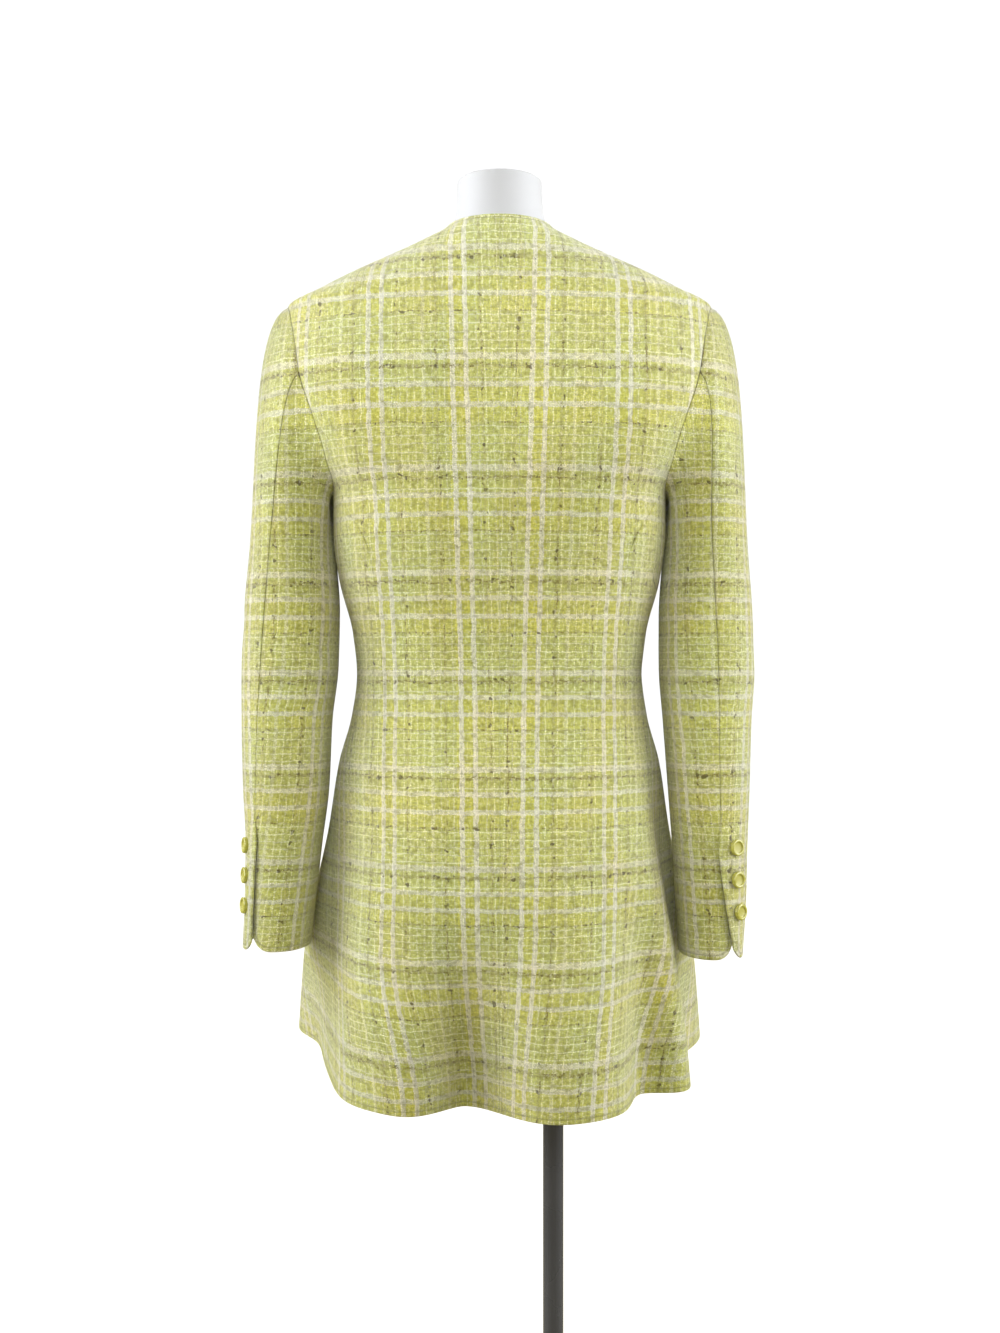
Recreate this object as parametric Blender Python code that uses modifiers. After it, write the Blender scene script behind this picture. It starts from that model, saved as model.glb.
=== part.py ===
"""A collarless jacket on a limbless dress form with a stand.

Frame: metres, +Z up.  The wearer faces -Y, and the wearer's left side is +X.  The origin
is the middle of the stand's underside, on the pole's axis.

Every panel of cloth is a wall between an outer and an inner face.  Both faces are worked
out from one common surface for the body and one for each sleeve, so the edges that meet
at a seam follow the same line.  Nothing but the tables of sections, seams and folds
below says how the jacket hangs.
"""
import math
from collections import namedtuple

import bmesh
import bpy
import numpy as np
from mathutils import Vector

OBJECT_NAME = "collarless_jacket_on_dress_form"

# ---------------------------------------------------------------- driving dimensions
CLOTH = 0.0020              # thickness of the tweed with its backing
SEAM_GAP = 0.0003           # space left between two pieces at a seam
FORM_X = 0.050              # the form's middle lies this far to the wearer's left of the pole

HEM = 0.601                 # height of the hem at the ridges of the centre back
LEFT_HEM_LIFT = 0.029       # the hem is this much higher at the wearer's left side
RIGHT_HEM_LIFT = 0.021      # and at the right side
LIFT_START = 0.800          # the rows begin to rise below this height
NECK = 1.385                # height of the neck edge at the back and the sides
FRONT_NECK_DROP = 0.075     # the neck edge is this much lower at centre front
NECK_DROP_POWER = 11        # how round the front neckline is
SHOULDER_TIP = 1.3116       # height of the end of the shoulder seam
UNDERARM = 1.135            # lowest point of the armhole
CHEST_ROW = 1.090           # last level row below the armholes

SIDE_SEAM_TURN = -12.0      # the side seam lies this many degrees to the front of the side

ARMHOLE_TURN_BACK = 37.0    # how far the armhole reaches round to the back, in degrees
ARMHOLE_TURN_FRONT = 42.0   # and to the front
ARMHOLE_ROUNDNESS = 0.6
ARMHOLE_SKEW = 0.12         # the armhole is wider in its lower half
# Places round the armhole, in degrees from the shoulder's end (0) over the back (+) or the
# front (-) to its lowest point (180), where body and sleeve share their corners.
ARMHOLE_BACK = (142.0, 120.0, 96.0, 72.0, 48.0, 24.0, 0.0)
ARMHOLE_SIDE = (-162.0, -171.0, 180.0, 171.0, 161.5, 152.0, 142.0)
ARMHOLE_FRONT = (-162.0, -142.0, -122.0, -98.0, -74.0, -50.0, -25.0, 0.0)

LAP_OVER = 0.020            # the right front's edge lies this far past centre front
LAP_UNDER = 0.012           # and the left front's edge runs this far beneath it
LAP_STEP = (0.024, 0.013)   # the right front climbs onto the left between these distances
LAP_LIFT = CLOTH + 0.0008

BICEP = 1.080               # height at which the sleeve cap ends
CAP_OUT_TOP = 0.104         # how strongly the cap leaves the armhole outwards, at the top
CAP_OUT_BOTTOM = 0.022      # and at the underarm
CAP_DOWN = 0.016
CAP_ROUND = 0.015
ELBOW_SEAM_START = 72.0     # where the sleeve's two seams leave the armhole
ELBOW_SEAM_SWING = 15.0     # the elbow seam swings in towards the back below the armhole
FRONT_SLEEVE_SEAM = -122.0
VENT_LENGTH = 0.107
CORNER_RADIUS = 0.020       # rounded lower corner of the under sleeve at the vent
TIP_RADIUS = 0.012          # and of the upper sleeve

CUFF_BUTTON_RADIUS = 0.008
CUFF_BUTTON_HEIGHT = 0.0040
CUFF_BUTTONS = 3
CUFF_BUTTON_PITCH = 0.0275
CUFF_BUTTON_TOP = 0.099     # the highest button lies this far above the cuff's edge
CUFF_BUTTON_INSET = 0.017   # and this far from the vent
FRONT_BUTTON_RADIUS = 0.010
FRONT_BUTTON_HEIGHT = 0.0045
FRONT_BUTTONS = 5
FRONT_BUTTON_TOP = 1.283
FRONT_BUTTON_PITCH = 0.098
CUFF_BUTTON_SEAT = 0.0003   # space between a button's middle and the sleeve, which curves away
FRONT_BUTTON_SEAT = 0.0009  # and the front, which is hollow at the waist

FORM_BOTTOM = 0.740
FORM_TOP = 1.430
FORM_SHOULDER = 1.362       # the form follows the jacket up to here
POLE_RADIUS = 0.0095
SOCKET_GAP = 0.0003
BASE_RADIUS = 0.150
BASE_THICKNESS = 0.012
HUB_RADIUS = 0.022
HUB_HEIGHT = 0.045
BORE_FLOOR = 0.006          # thickness of the base beneath the pole's end
FLANGE_RADIUS = 0.036
FLANGE_THICKNESS = 0.010
FLANGE_BORE = 0.007         # how deep the pole's end sits in the flange

# Rings of the jacket's body, hem to neck.  half_width reaches from the middle to each
# side; side_y is where the ring is widest; squareness is 2 for an ellipse.
Ring = namedtuple("Ring", "height half_width side_y back_y front_y squareness")
BODY_RINGS = (
    Ring(0.590, 0.199, -0.075, 0.160, -0.170, 2.40),
    Ring(0.656, 0.194, -0.070, 0.153, -0.160, 2.35),
    Ring(0.712, 0.188, -0.062, 0.146, -0.149, 2.30),
    Ring(0.770, 0.175, -0.045, 0.137, -0.137, 2.30),
    Ring(0.828, 0.161, -0.030, 0.127, -0.123, 2.30),
    Ring(0.893, 0.149, -0.012, 0.109, -0.111, 2.30),
    Ring(0.935, 0.137, -0.005, 0.097, -0.105, 2.30),
    Ring(0.972, 0.132, 0.000, 0.092, -0.104, 2.30),
    Ring(1.010, 0.1355, 0.000, 0.095, -0.108, 2.35),
    Ring(1.060, 0.148, 0.000, 0.104, -0.118, 2.45),
    Ring(1.100, 0.153, 0.000, 0.110, -0.126, 2.60),
    Ring(1.135, 0.1525, 0.000, 0.114, -0.130, 2.80),
    Ring(1.165, 0.165, 0.000, 0.116, -0.127, 3.30),
    Ring(1.200, 0.180, 0.000, 0.115, -0.119, 3.50),
    Ring(1.246, 0.197, 0.000, 0.108, -0.102, 3.00),
    Ring(1.285, 0.2005, -0.002, 0.097, -0.087, 2.50),
    Ring(1.3116, 0.1965, -0.004, 0.087, -0.076, 2.30),
    Ring(1.3255, 0.171, -0.005, 0.082, -0.069, 2.35),
    Ring(1.3395, 0.144, -0.006, 0.077, -0.062, 2.30),
    Ring(1.3534, 0.113, -0.006, 0.072, -0.056, 2.25),
    Ring(1.3674, 0.081, -0.005, 0.066, -0.051, 2.20),
    Ring(1.3850, 0.050, -0.003, 0.058, -0.045, 2.10),
    Ring(1.4000, 0.045, -0.002, 0.054, -0.042, 2.00),
)

# The side-back seam, from the armhole to the hem, by its distance from the middle.
SeamPoint = namedtuple("SeamPoint", "height distance")
SIDE_BACK_SEAM = (
    SeamPoint(0.590, 0.066),
    SeamPoint(0.700, 0.082),
    SeamPoint(0.884, 0.099),
    SeamPoint(0.968, 0.104),
    SeamPoint(1.039, 0.108),
    SeamPoint(1.074, 0.113),
    SeamPoint(1.118, 0.128),
    SeamPoint(1.160, 0.1535),
)

# Flutes of the skirt.  turn is the place round the hem in degrees: 0 wearer's left side,
# 90 centre back, 180 right side, -90 centre front.  reach is how far the cloth stands out
# (or in, below zero) at the hem; start is the height at which the flute begins.
Fold = namedtuple("Fold", "turn width_before width_after reach start")
FOLDS = (
    Fold(79.5, 8.0, 15.0, -0.050, 0.790),
    Fold(68.0, 9.0, 6.0, 0.003, 0.780),
    Fold(103.0, 9.0, 14.0, 0.012, 0.860),
    Fold(118.0, 9.0, 7.0, 0.003, 0.860),
    Fold(134.0, 9.0, 7.0, -0.025, 0.850),
    Fold(141.0, 5.0, 5.0, 0.006, 0.880),
    Fold(156.0, 9.0, 14.0, -0.022, 0.970),
    Fold(52.0, 8.0, 8.0, 0.006, 0.860),
    Fold(33.0, 15.0, 15.0, -0.018, 0.930),
    Fold(17.0, 9.0, 12.0, -0.018, 0.760),
    Fold(-32.0, 12.0, 9.0, -0.014, 0.820),
    Fold(-58.0, 9.0, 14.0, -0.018, 0.860),
    Fold(-116.0, 13.0, 10.0, -0.020, 0.840),
    Fold(-147.0, 9.0, 12.0, -0.013, 0.800),
)

# Rings of the sleeves, bicep to cuff, measured from the middle of the jacket outwards.
# elbow_turn is the place of the seam that ends in the vent: 0 outer side, 90 back.
SleeveRing = namedtuple("SleeveRing", "height inner outer mid_y half_depth elbow_turn")
LEFT_SLEEVE = (
    SleeveRing(0.7300, 0.1705, 0.2265, 0.042, 0.046, 56.0),
    SleeveRing(0.7700, 0.1665, 0.2285, 0.037, 0.047, 58.0),
    SleeveRing(0.8200, 0.1615, 0.2320, 0.031, 0.049, 60.0),
    SleeveRing(0.8700, 0.1560, 0.2340, 0.024, 0.051, 62.0),
    SleeveRing(0.9300, 0.1540, 0.2360, 0.016, 0.053, 66.0),
    SleeveRing(0.9800, 0.1490, 0.2370, 0.010, 0.055, 70.0),
    SleeveRing(1.0300, 0.1490, 0.2355, 0.006, 0.057, 78.0),
    SleeveRing(1.0800, 0.1550, 0.2310, 0.004, 0.060, 85.0),
)
RIGHT_SLEEVE = (
    SleeveRing(0.7230, 0.1620, 0.2185, 0.042, 0.046, 55.0),
    SleeveRing(0.7700, 0.1615, 0.2225, 0.037, 0.047, 64.0),
    SleeveRing(0.8200, 0.1600, 0.2245, 0.032, 0.049, 72.0),
    SleeveRing(0.8700, 0.1555, 0.2275, 0.025, 0.051, 77.0),
    SleeveRing(0.9300, 0.1505, 0.2305, 0.017, 0.053, 80.0),
    SleeveRing(0.9800, 0.1475, 0.2345, 0.010, 0.055, 82.0),
    SleeveRing(1.0300, 0.1485, 0.2330, 0.006, 0.057, 86.0),
    SleeveRing(1.0800, 0.1545, 0.2295, 0.004, 0.060, 88.0),
)

# How far the form's skin lies inside the jacket's outer face, from its bottom upwards.
Clearance = namedtuple("Clearance", "height depth")
FORM_CLEARANCE = (
    Clearance(0.700, 0.034),
    Clearance(0.740, 0.029),
    Clearance(0.800, 0.018),
    Clearance(0.870, 0.012),
    Clearance(0.972, 0.008),
    Clearance(1.080, 0.008),
    Clearance(1.200, 0.0070),
    Clearance(1.3000, 0.0046),
    Clearance(1.3660, 0.0034),
)
NeckRing = namedtuple("NeckRing", "height half_width back_y front_y")
FORM_NECK = (
    NeckRing(1.3780, 0.0490, 0.0520, -0.0440),
    NeckRing(1.3880, 0.0432, 0.0480, -0.0420),
    NeckRing(1.4020, 0.0405, 0.0450, -0.0410),
    NeckRing(FORM_TOP - 0.0012, 0.0392, 0.0430, -0.0400),
    NeckRing(FORM_TOP, 0.0380, 0.0418, -0.0388),
)

# Rows and columns of the meshes.
SKIRT_ROWS = (
    HEM, 0.624, 0.648, 0.675, 0.706, 0.740, 0.775, 0.812, 0.848, 0.884, 0.924, 0.958, 0.989, 1.020, 1.054,
    CHEST_ROW
)
CHEST_STEPS = 3
SHOULDER_STEPS = 5
BACK_COLUMNS = 7
SIDE_COLUMNS_PER_CORNER = 2
FRONT_COLUMNS = 10
EDGE_CROWDING = 1.25        # columns lie closer together towards the shoulder seam
SLEEVE_CAP_ROWS = (0.0, 0.08, 0.18, 0.32, 0.50, 0.72)
SLEEVE_TUBE_ROWS = 8
VENT_CROWDING = 1.3         # sleeve columns lie closer together next to the vent
FORM_COLUMNS = 36
NUDGE = 1.0e-4              # step for measuring the slope of a surface

# Colours (linear RGB), roughness and metallic value.
Finish = namedtuple("Finish", "color roughness metallic")
TWEED = Finish((0.58, 0.56, 0.24), 0.92, 0.0)
BUTTON_YELLOW = Finish((0.72, 0.55, 0.08), 0.35, 0.0)
FORM_WHITE = Finish((0.78, 0.78, 0.74), 0.55, 0.0)
STAND_BLACK = Finish((0.045, 0.045, 0.05), 0.35, 0.6)


# ---------------------------------------------------------------- tables and curves
def smoothstep(value):
    value = min(1.0, max(0.0, value))
    return value * value * (3.0 - 2.0 * value)


def column(table, name, height):
    """Read one named column of a table at a height, along a smooth curve without overshoot."""
    heights = [row.height for row in table]
    values = [getattr(row, name) for row in table]
    height = min(heights[-1], max(heights[0], height))
    steps = np.diff(heights)
    slopes = np.diff(values) / steps
    tangents = np.zeros(len(values))
    for i in range(1, len(values) - 1):
        if slopes[i - 1] * slopes[i] > 0.0:
            weight = (2.0 * steps[i] + steps[i - 1], steps[i] + 2.0 * steps[i - 1])
            tangents[i] = sum(weight) / (weight[0] / slopes[i - 1] + weight[1] / slopes[i])
    tangents[0] = slopes[0]
    tangents[-1] = slopes[-1]
    i = min(len(steps) - 1, int(np.searchsorted(heights, height, side="right")) - 1)
    t = (height - heights[i]) / steps[i]
    rise = t * t * (3.0 - 2.0 * t)
    lead = t * (1.0 - t) ** 2 * steps[i]
    tail = t * t * (t - 1.0) * steps[i]
    return values[i] + rise * (values[i + 1] - values[i]) + lead * tangents[i] + tail * tangents[i + 1]


def squared_circle(turn, squareness):
    """The point at an angle on a circle of radius one that is squared off."""
    across = math.cos(turn)
    along = math.sin(turn)
    size = (abs(across) ** squareness + abs(along) ** squareness) ** (1.0 / squareness)
    return across / size, along / size


# ---------------------------------------------------------------- the body's surface
def fold_reach(turn, height):
    """How far the flutes push the cloth out at a place round the skirt."""
    degrees = math.degrees(turn)
    reach = 0.0
    for fold in FOLDS:
        away = (degrees - fold.turn + 180.0) % 360.0 - 180.0
        width = fold.width_after if away > 0.0 else fold.width_before
        if fold.start > height:
            drop = smoothstep((fold.start - height) / (fold.start - HEM))
            reach += fold.reach * drop * math.exp(-((away / width) ** 2))
    return reach


def body_height(turn, level):
    """The real height of a row: level rows rise at the side hem and dip at the front neck."""
    side_lift = LEFT_HEM_LIFT if math.cos(turn) > 0.0 else RIGHT_HEM_LIFT
    lift = side_lift * abs(math.cos(turn)) ** 3 * smoothstep((LIFT_START - level) / (LIFT_START - HEM))
    dip = FRONT_NECK_DROP * max(0.0, -math.sin(turn)) ** NECK_DROP_POWER
    return level + lift - dip * smoothstep((level - CHEST_ROW) / (NECK - CHEST_ROW))


def body_point(turn, level, folded=True):
    """A point of the jacket's outer face, measured from the middle of the form."""
    height = body_height(turn, level)
    across, along = squared_circle(turn, column(BODY_RINGS, "squareness", height))
    side_y = column(BODY_RINGS, "side_y", height)
    end_y = column(BODY_RINGS, "back_y" if along > 0.0 else "front_y", height)
    x = column(BODY_RINGS, "half_width", height) * across
    y = (end_y - side_y) * abs(along)
    if folded:
        radius = math.hypot(x, y)
        scale = 1.0 + fold_reach(turn, height) / radius
        x *= scale
        y *= scale
    return Vector((x, side_y + y, height))


def surface_normal(point, u, v):
    """The outward normal of a surface from its slope at (u, v); v runs upwards."""
    along_u = point(u + NUDGE, v) - point(u - NUDGE, v)
    along_v = point(u, v + NUDGE) - point(u, v - NUDGE)
    return along_u.cross(along_v).normalized()


def body_normal(turn, level, folded=True):
    return surface_normal(lambda u, v: body_point(u, v, folded), turn, level)


def mirrored(turn):
    """The same place on the wearer's other side."""
    return math.pi - turn


def armhole(sleeve_turn):
    """(turn, level) of the armhole's edge at a place round it, in radians."""
    middle = 0.5 * (SHOULDER_TIP + UNDERARM)
    half = 0.5 * (SHOULDER_TIP - UNDERARM)
    rise = math.cos(sleeve_turn)
    reach = ARMHOLE_TURN_BACK if sleeve_turn > 0.0 else -ARMHOLE_TURN_FRONT
    bulge = abs(math.sin(sleeve_turn)) ** ARMHOLE_ROUNDNESS * (1.0 - ARMHOLE_SKEW * rise)
    return math.radians(reach * bulge), middle + half * rise


def turn_at_distance(distance, level):
    """The turn at which the back of a ring lies at a distance from the middle."""
    half_width = column(BODY_RINGS, "half_width", level)
    squareness = column(BODY_RINGS, "squareness", level)
    across = min(0.9999, distance / half_width)
    return math.atan2((1.0 - across ** squareness) ** (1.0 / squareness), across)


def side_back_turn(level):
    """The side-back seam, which runs into the armhole at its top."""
    seam = turn_at_distance(column(SIDE_BACK_SEAM, "distance", level), level)
    edge, top = armhole(math.radians(ARMHOLE_BACK[0]))
    return seam + (edge - seam) * smoothstep((level - CHEST_ROW) / (top - CHEST_ROW))


def side_seam_turn(level):
    """The side seam, which runs into the armhole in front of its lowest point."""
    seam = math.radians(SIDE_SEAM_TURN)
    edge, top = armhole(math.radians(ARMHOLE_FRONT[0]))
    return seam + (edge - seam) * smoothstep((level - CHEST_ROW) / (top - CHEST_ROW))


def front_turn(distance, level):
    """The turn of a line at a distance to the wearer's left of centre front."""
    return -0.5 * math.pi + math.asin(distance / column(BODY_RINGS, "half_width", level))


# ---------------------------------------------------------------- rows of places
def steps_between(first, last, count):
    """count heights after the first, ending at the last."""
    return [first + (last - first) * (i + 1) / count for i in range(count)]


def edge_places(seam, corners):
    """A panel's side edge, hem to neck: its seam, then the armhole, then the shoulder."""
    top = armhole(math.radians(corners[0]))[1]
    seam_levels = list(SKIRT_ROWS) + steps_between(CHEST_ROW, top, CHEST_STEPS)
    places = [(seam(level), level) for level in seam_levels]
    places += [armhole(math.radians(corner)) for corner in corners[1:]]
    return places + [(0.0, level) for level in steps_between(SHOULDER_TIP, NECK, SHOULDER_STEPS)]


def spread(first, last, count, crowding=1.0):
    """Places along one row, from its first edge to its last, closer together at the first."""
    return [first + (last - first) * (i / count) ** crowding for i in range(count + 1)]


def back_places():
    """(turn, level) of the left back's grid, from the side-back seam to centre back."""
    rows = []
    for edge, level in edge_places(side_back_turn, ARMHOLE_BACK):
        turns = spread(edge, 0.5 * math.pi, BACK_COLUMNS, EDGE_CROWDING)
        rows.append([(turn, level) for turn in turns])
    return rows


def side_back_places():
    """The left side panel, from the side seam round to the side-back seam."""
    corners = [armhole(math.radians(corner)) for corner in ARMHOLE_SIDE]
    top_row = [corners[0]]
    for here, there in zip(corners, corners[1:]):
        for i in range(1, SIDE_COLUMNS_PER_CORNER + 1):
            share = i / SIDE_COLUMNS_PER_CORNER
            top_row.append(tuple(a + (b - a) * share for a, b in zip(here, there)))
    count = len(top_row) - 1
    rows = []
    for level in SKIRT_ROWS:
        turns = spread(side_seam_turn(level), side_back_turn(level), count)
        rows.append([(turn, level) for turn in turns])
    for step in range(1, CHEST_STEPS + 1):
        share = step / CHEST_STEPS
        levels = [CHEST_ROW + (level - CHEST_ROW) * share for turn, level in top_row]
        turns = spread(side_seam_turn(levels[0]), side_back_turn(levels[-1]), count)
        turns = [turn + (top[0] - turn) * share for turn, top in zip(turns, top_row)]
        turns[0] = side_seam_turn(levels[0])
        turns[-1] = side_back_turn(levels[-1])
        rows.append(list(zip(turns, levels)))
    return rows


def straighten_between_corners(row):
    """Put the points between two shared corners of the armhole on the line between them."""
    for i in range(0, len(row) - 1, SIDE_COLUMNS_PER_CORNER):
        for j in range(1, SIDE_COLUMNS_PER_CORNER):
            row[i + j] = row[i].lerp(row[i + SIDE_COLUMNS_PER_CORNER], j / SIDE_COLUMNS_PER_CORNER)


def front_places(inner_lines):
    """A front, from its edge at centre front to the side seam; inner_lines are distances."""
    rows = []
    for edge, level in edge_places(side_seam_turn, ARMHOLE_FRONT):
        lines = [front_turn(distance, level) for distance in inner_lines]
        turns = lines[:-1] + spread(edge, lines[-1], FRONT_COLUMNS, EDGE_CROWDING)[::-1]
        rows.append([(turn, level) for turn in turns])
    return rows


def lap_lift(turn, level):
    """How far the right front is raised where it lies on the left front."""
    distance = column(BODY_RINGS, "half_width", level) * math.cos(turn)
    return LAP_LIFT * smoothstep((LAP_STEP[0] + distance) / (LAP_STEP[0] - LAP_STEP[1]))


# ---------------------------------------------------------------- the sleeves' surface
def sleeve_ring_point(table, turn, height):
    """A point of the left-hand sleeve below its cap."""
    across, along = squared_circle(turn, 2.15)
    inner = column(table, "inner", height)
    outer = column(table, "outer", height)
    x = 0.5 * (inner + outer) + 0.5 * (outer - inner) * across
    y = column(table, "mid_y", height) + column(table, "half_depth", height) * along
    return Vector((x, y, height))


def sleeve_point(table, turn, place):
    """A point of the sleeve; place is 0 at the armhole, 1 at the bicep and 2 at the cuff."""
    cuff = table[0].height
    if place > 1.0:
        height = BICEP + (cuff - BICEP) * (place - 1.0)
        return sleeve_ring_point(table, turn, height)
    wrapped = (turn + math.pi) % (2.0 * math.pi) - math.pi
    edge = body_point(*armhole(wrapped))
    high = 0.5 * (1.0 + math.cos(turn))
    leave = Vector((
        CAP_OUT_BOTTOM + (CAP_OUT_TOP - CAP_OUT_BOTTOM) * high,
        CAP_ROUND * math.sin(turn),
        -CAP_DOWN * math.sqrt(high),
    ))
    start = edge + leave.normalized() * (SEAM_GAP + 0.0002)
    end = sleeve_ring_point(table, turn, BICEP)
    drop = start.z - BICEP
    lower = sleeve_ring_point(table, turn, BICEP - NUDGE)
    arrive = (lower - end) * (drop / NUDGE)
    rise = place * place * (3.0 - 2.0 * place)
    lead = place * (1.0 - place) ** 2
    tail = place * place * (place - 1.0)
    return start * (1.0 - rise) + end * rise + leave * lead + arrive * tail


def elbow_turn(table, place):
    """The seam at the back of the sleeve, in radians from the sleeve's outer side."""
    if place > 1.0:
        height = BICEP + (table[0].height - BICEP) * (place - 1.0)
        return math.radians(column(table, "elbow_turn", height))
    at_bicep = table[-1].elbow_turn
    swing = ELBOW_SEAM_SWING * math.sin(math.pi * place)
    return math.radians(ELBOW_SEAM_START + (at_bicep - ELBOW_SEAM_START) * smoothstep(place) + swing)


def sleeve_rows():
    tube = [1.0 + i / SLEEVE_TUBE_ROWS for i in range(SLEEVE_TUBE_ROWS + 1)]
    return list(SLEEVE_CAP_ROWS) + tube


def corner_lift(distance, radius):
    """How far a rounded corner rises above the cuff at a distance from the vent's edge."""
    if distance >= radius:
        return 0.0
    return radius - math.sqrt(radius * radius - (radius - distance) ** 2)


# ---------------------------------------------------------------- meshes and objects
def new_material(name, finish):
    material = bpy.data.materials.new(name)
    material.use_nodes = True
    shader = material.node_tree.nodes["Principled BSDF"]
    shader.inputs["Base Color"].default_value = (*finish.color, 1.0)
    shader.inputs["Roughness"].default_value = finish.roughness
    shader.inputs["Metallic"].default_value = finish.metallic
    material.diffuse_color = (*finish.color, 1.0)
    return material


def add_object(name, mesh, finish, collection):
    item = bpy.data.objects.new(name, mesh)
    mesh.materials.append(new_material(name, finish))
    mesh.shade_smooth()
    mesh.set_sharp_from_angle(angle=math.radians(35.0))
    collection.objects.link(item)
    return item


def wall_mesh(name, outer, inner):
    """A closed wall between two grids of points, rows by columns."""
    shell = bmesh.new()
    rows = len(outer)
    columns = len(outer[0])
    front = [[shell.verts.new(point) for point in row] for row in outer]
    back = [[shell.verts.new(point) for point in row] for row in inner]
    for i in range(rows - 1):
        for j in range(columns - 1):
            shell.faces.new((front[i][j], front[i][j + 1], front[i + 1][j + 1], front[i + 1][j]))
            shell.faces.new((back[i][j], back[i + 1][j], back[i + 1][j + 1], back[i][j + 1]))
    rim = [(0, j) for j in range(columns)]
    rim += [(i, columns - 1) for i in range(1, rows)]
    rim += [(rows - 1, j) for j in range(columns - 2, -1, -1)]
    rim += [(i, 0) for i in range(rows - 2, 0, -1)]
    for here, there in zip(rim, rim[1:] + rim[:1]):
        a, b = front[here[0]][here[1]], front[there[0]][there[1]]
        c, d = back[there[0]][there[1]], back[here[0]][here[1]]
        shell.faces.new((a, d, c, b))
    bmesh.ops.recalc_face_normals(shell, faces=shell.faces[:])
    mesh = bpy.data.meshes.new(name)
    shell.to_mesh(mesh)
    shell.free()
    return mesh


def draw_in_edges(points, amount):
    """Move the first and last column of a grid in from the seams they lie on."""
    for row in points:
        first = (row[1] - row[0]).normalized() * amount
        last = (row[-2] - row[-1]).normalized() * amount
        row[0] = row[0] + first
        row[-1] = row[-1] + last


def body_panel(name, places, collection, on_right=False, lift=None, armhole_on_top=False):
    """A panel of the body: its grid of (turn, level), laid out on the body's surface."""
    outer = []
    inner = []
    for row in places:
        outer_row = []
        inner_row = []
        for turn, level in row:
            place = mirrored(turn) if on_right else turn
            raise_by = lift(place, level) if lift else 0.0
            normal = body_normal(place, level)
            point = body_point(place, level) + normal * raise_by + Vector((FORM_X, 0.0, 0.0))
            outer_row.append(point)
            inner_row.append(point - normal * CLOTH)
        outer.append(outer_row)
        inner.append(inner_row)
    if armhole_on_top:
        straighten_between_corners(outer[-1])
        straighten_between_corners(inner[-1])
    draw_in_edges(outer, 0.5 * SEAM_GAP)
    draw_in_edges(inner, 0.5 * SEAM_GAP)
    return add_object(name, wall_mesh(name, outer, inner), TWEED, collection)


def place_sleeve_point(point, side):
    return Vector((FORM_X + side * point.x, point.y, point.z))


def sleeve_turns(table, place, corners):
    """Columns of a sleeve half: the armhole's corners, evened out towards the bicep."""
    first = elbow_turn(table, place)
    last = math.radians(corners[-1])
    count = len(corners) - 1
    even = spread(first, last, count, VENT_CROWDING)
    swing = first - math.radians(corners[0])
    share = smoothstep(place)
    turns = []
    for j, corner in enumerate(corners):
        swung = math.radians(corner) + swing * (1.0 - j / count) ** 2
        turns.append(swung * (1.0 - share) + even[j] * share)
    return turns


def sleeve_wall(name, table, side, corners, vent_radius, collection):
    """One half of a sleeve; corners go round the armhole, starting at the elbow seam."""
    outer = []
    inner = []
    length = BICEP - table[0].height
    vent_start = 2.0 - VENT_LENGTH / length
    for place in sleeve_rows():
        outer_row = []
        inner_row = []
        turns = sleeve_turns(table, place, corners)
        vent = sleeve_point(table, turns[0], place)
        low = smoothstep((place - vent_start) / (2.0 - vent_start))
        for j, flat_turn in enumerate(turns):
            distance = (sleeve_point(table, flat_turn, place) - vent).length
            row = place - low * corner_lift(distance, vent_radius) / length
            turn = sleeve_turns(table, row, corners)[j]
            point = sleeve_point(table, turn, row)
            slope = surface_normal(lambda u, v: sleeve_point(table, u, -v), turn, -row)
            outer_row.append(place_sleeve_point(point, side))
            inner_row.append(place_sleeve_point(point - slope * CLOTH, side))
        outer.append(outer_row)
        inner.append(inner_row)
    draw_in_edges(outer, 0.5 * SEAM_GAP)
    draw_in_edges(inner, 0.5 * SEAM_GAP)
    return add_object(name, wall_mesh(name, outer, inner), TWEED, collection)


def make_sleeve(label, table, side, collection):
    over_back = [c for c in ARMHOLE_BACK if 0.0 < c <= ELBOW_SEAM_START]
    over_front = [c for c in reversed(ARMHOLE_FRONT) if c >= FRONT_SLEEVE_SEAM]
    over_the_top = over_back + over_front
    back_part = sorted(c for c in ARMHOLE_BACK if c >= ELBOW_SEAM_START)
    side_part = [c % 360.0 for c in reversed(ARMHOLE_SIDE[:-1])]
    front_part = [c % 360.0 for c in ARMHOLE_FRONT[1:] if c <= FRONT_SLEEVE_SEAM]
    underneath = back_part + side_part + front_part
    sleeve_wall("upper_sleeve_" + label, table, side, over_the_top, TIP_RADIUS, collection)
    sleeve_wall("under_sleeve_" + label, table, side, underneath, CORNER_RADIUS, collection)


# ---------------------------------------------------------------- buttons, form and stand
def turned(name, profile, steps, finish, collection):
    """A turned piece: a profile in the XZ plane, from its top down the outer side."""
    mesh = bpy.data.meshes.new(name)
    points = [(radius, 0.0, height) for radius, height in profile]
    edges = [(i, i + 1) for i in range(len(points) - 1)]
    mesh.from_pydata(points, edges, [])
    item = add_object(name, mesh, finish, collection)
    screw = item.modifiers.new("turn", "SCREW")
    screw.steps = steps
    screw.render_steps = steps
    screw.use_merge_vertices = True
    screw.merge_threshold = 0.00001
    screw.use_smooth_shade = True
    return item


def button_profile(radius, height):
    """A button with a raised rim round a plain, slightly sunk face."""
    return (
        (0.0, 0.72 * height),
        (0.66 * radius, 0.72 * height),
        (0.78 * radius, height),
        (0.92 * radius, 0.94 * height),
        (radius, 0.60 * height),
        (0.86 * radius, 0.0),
        (0.0, 0.0),
    )


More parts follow.
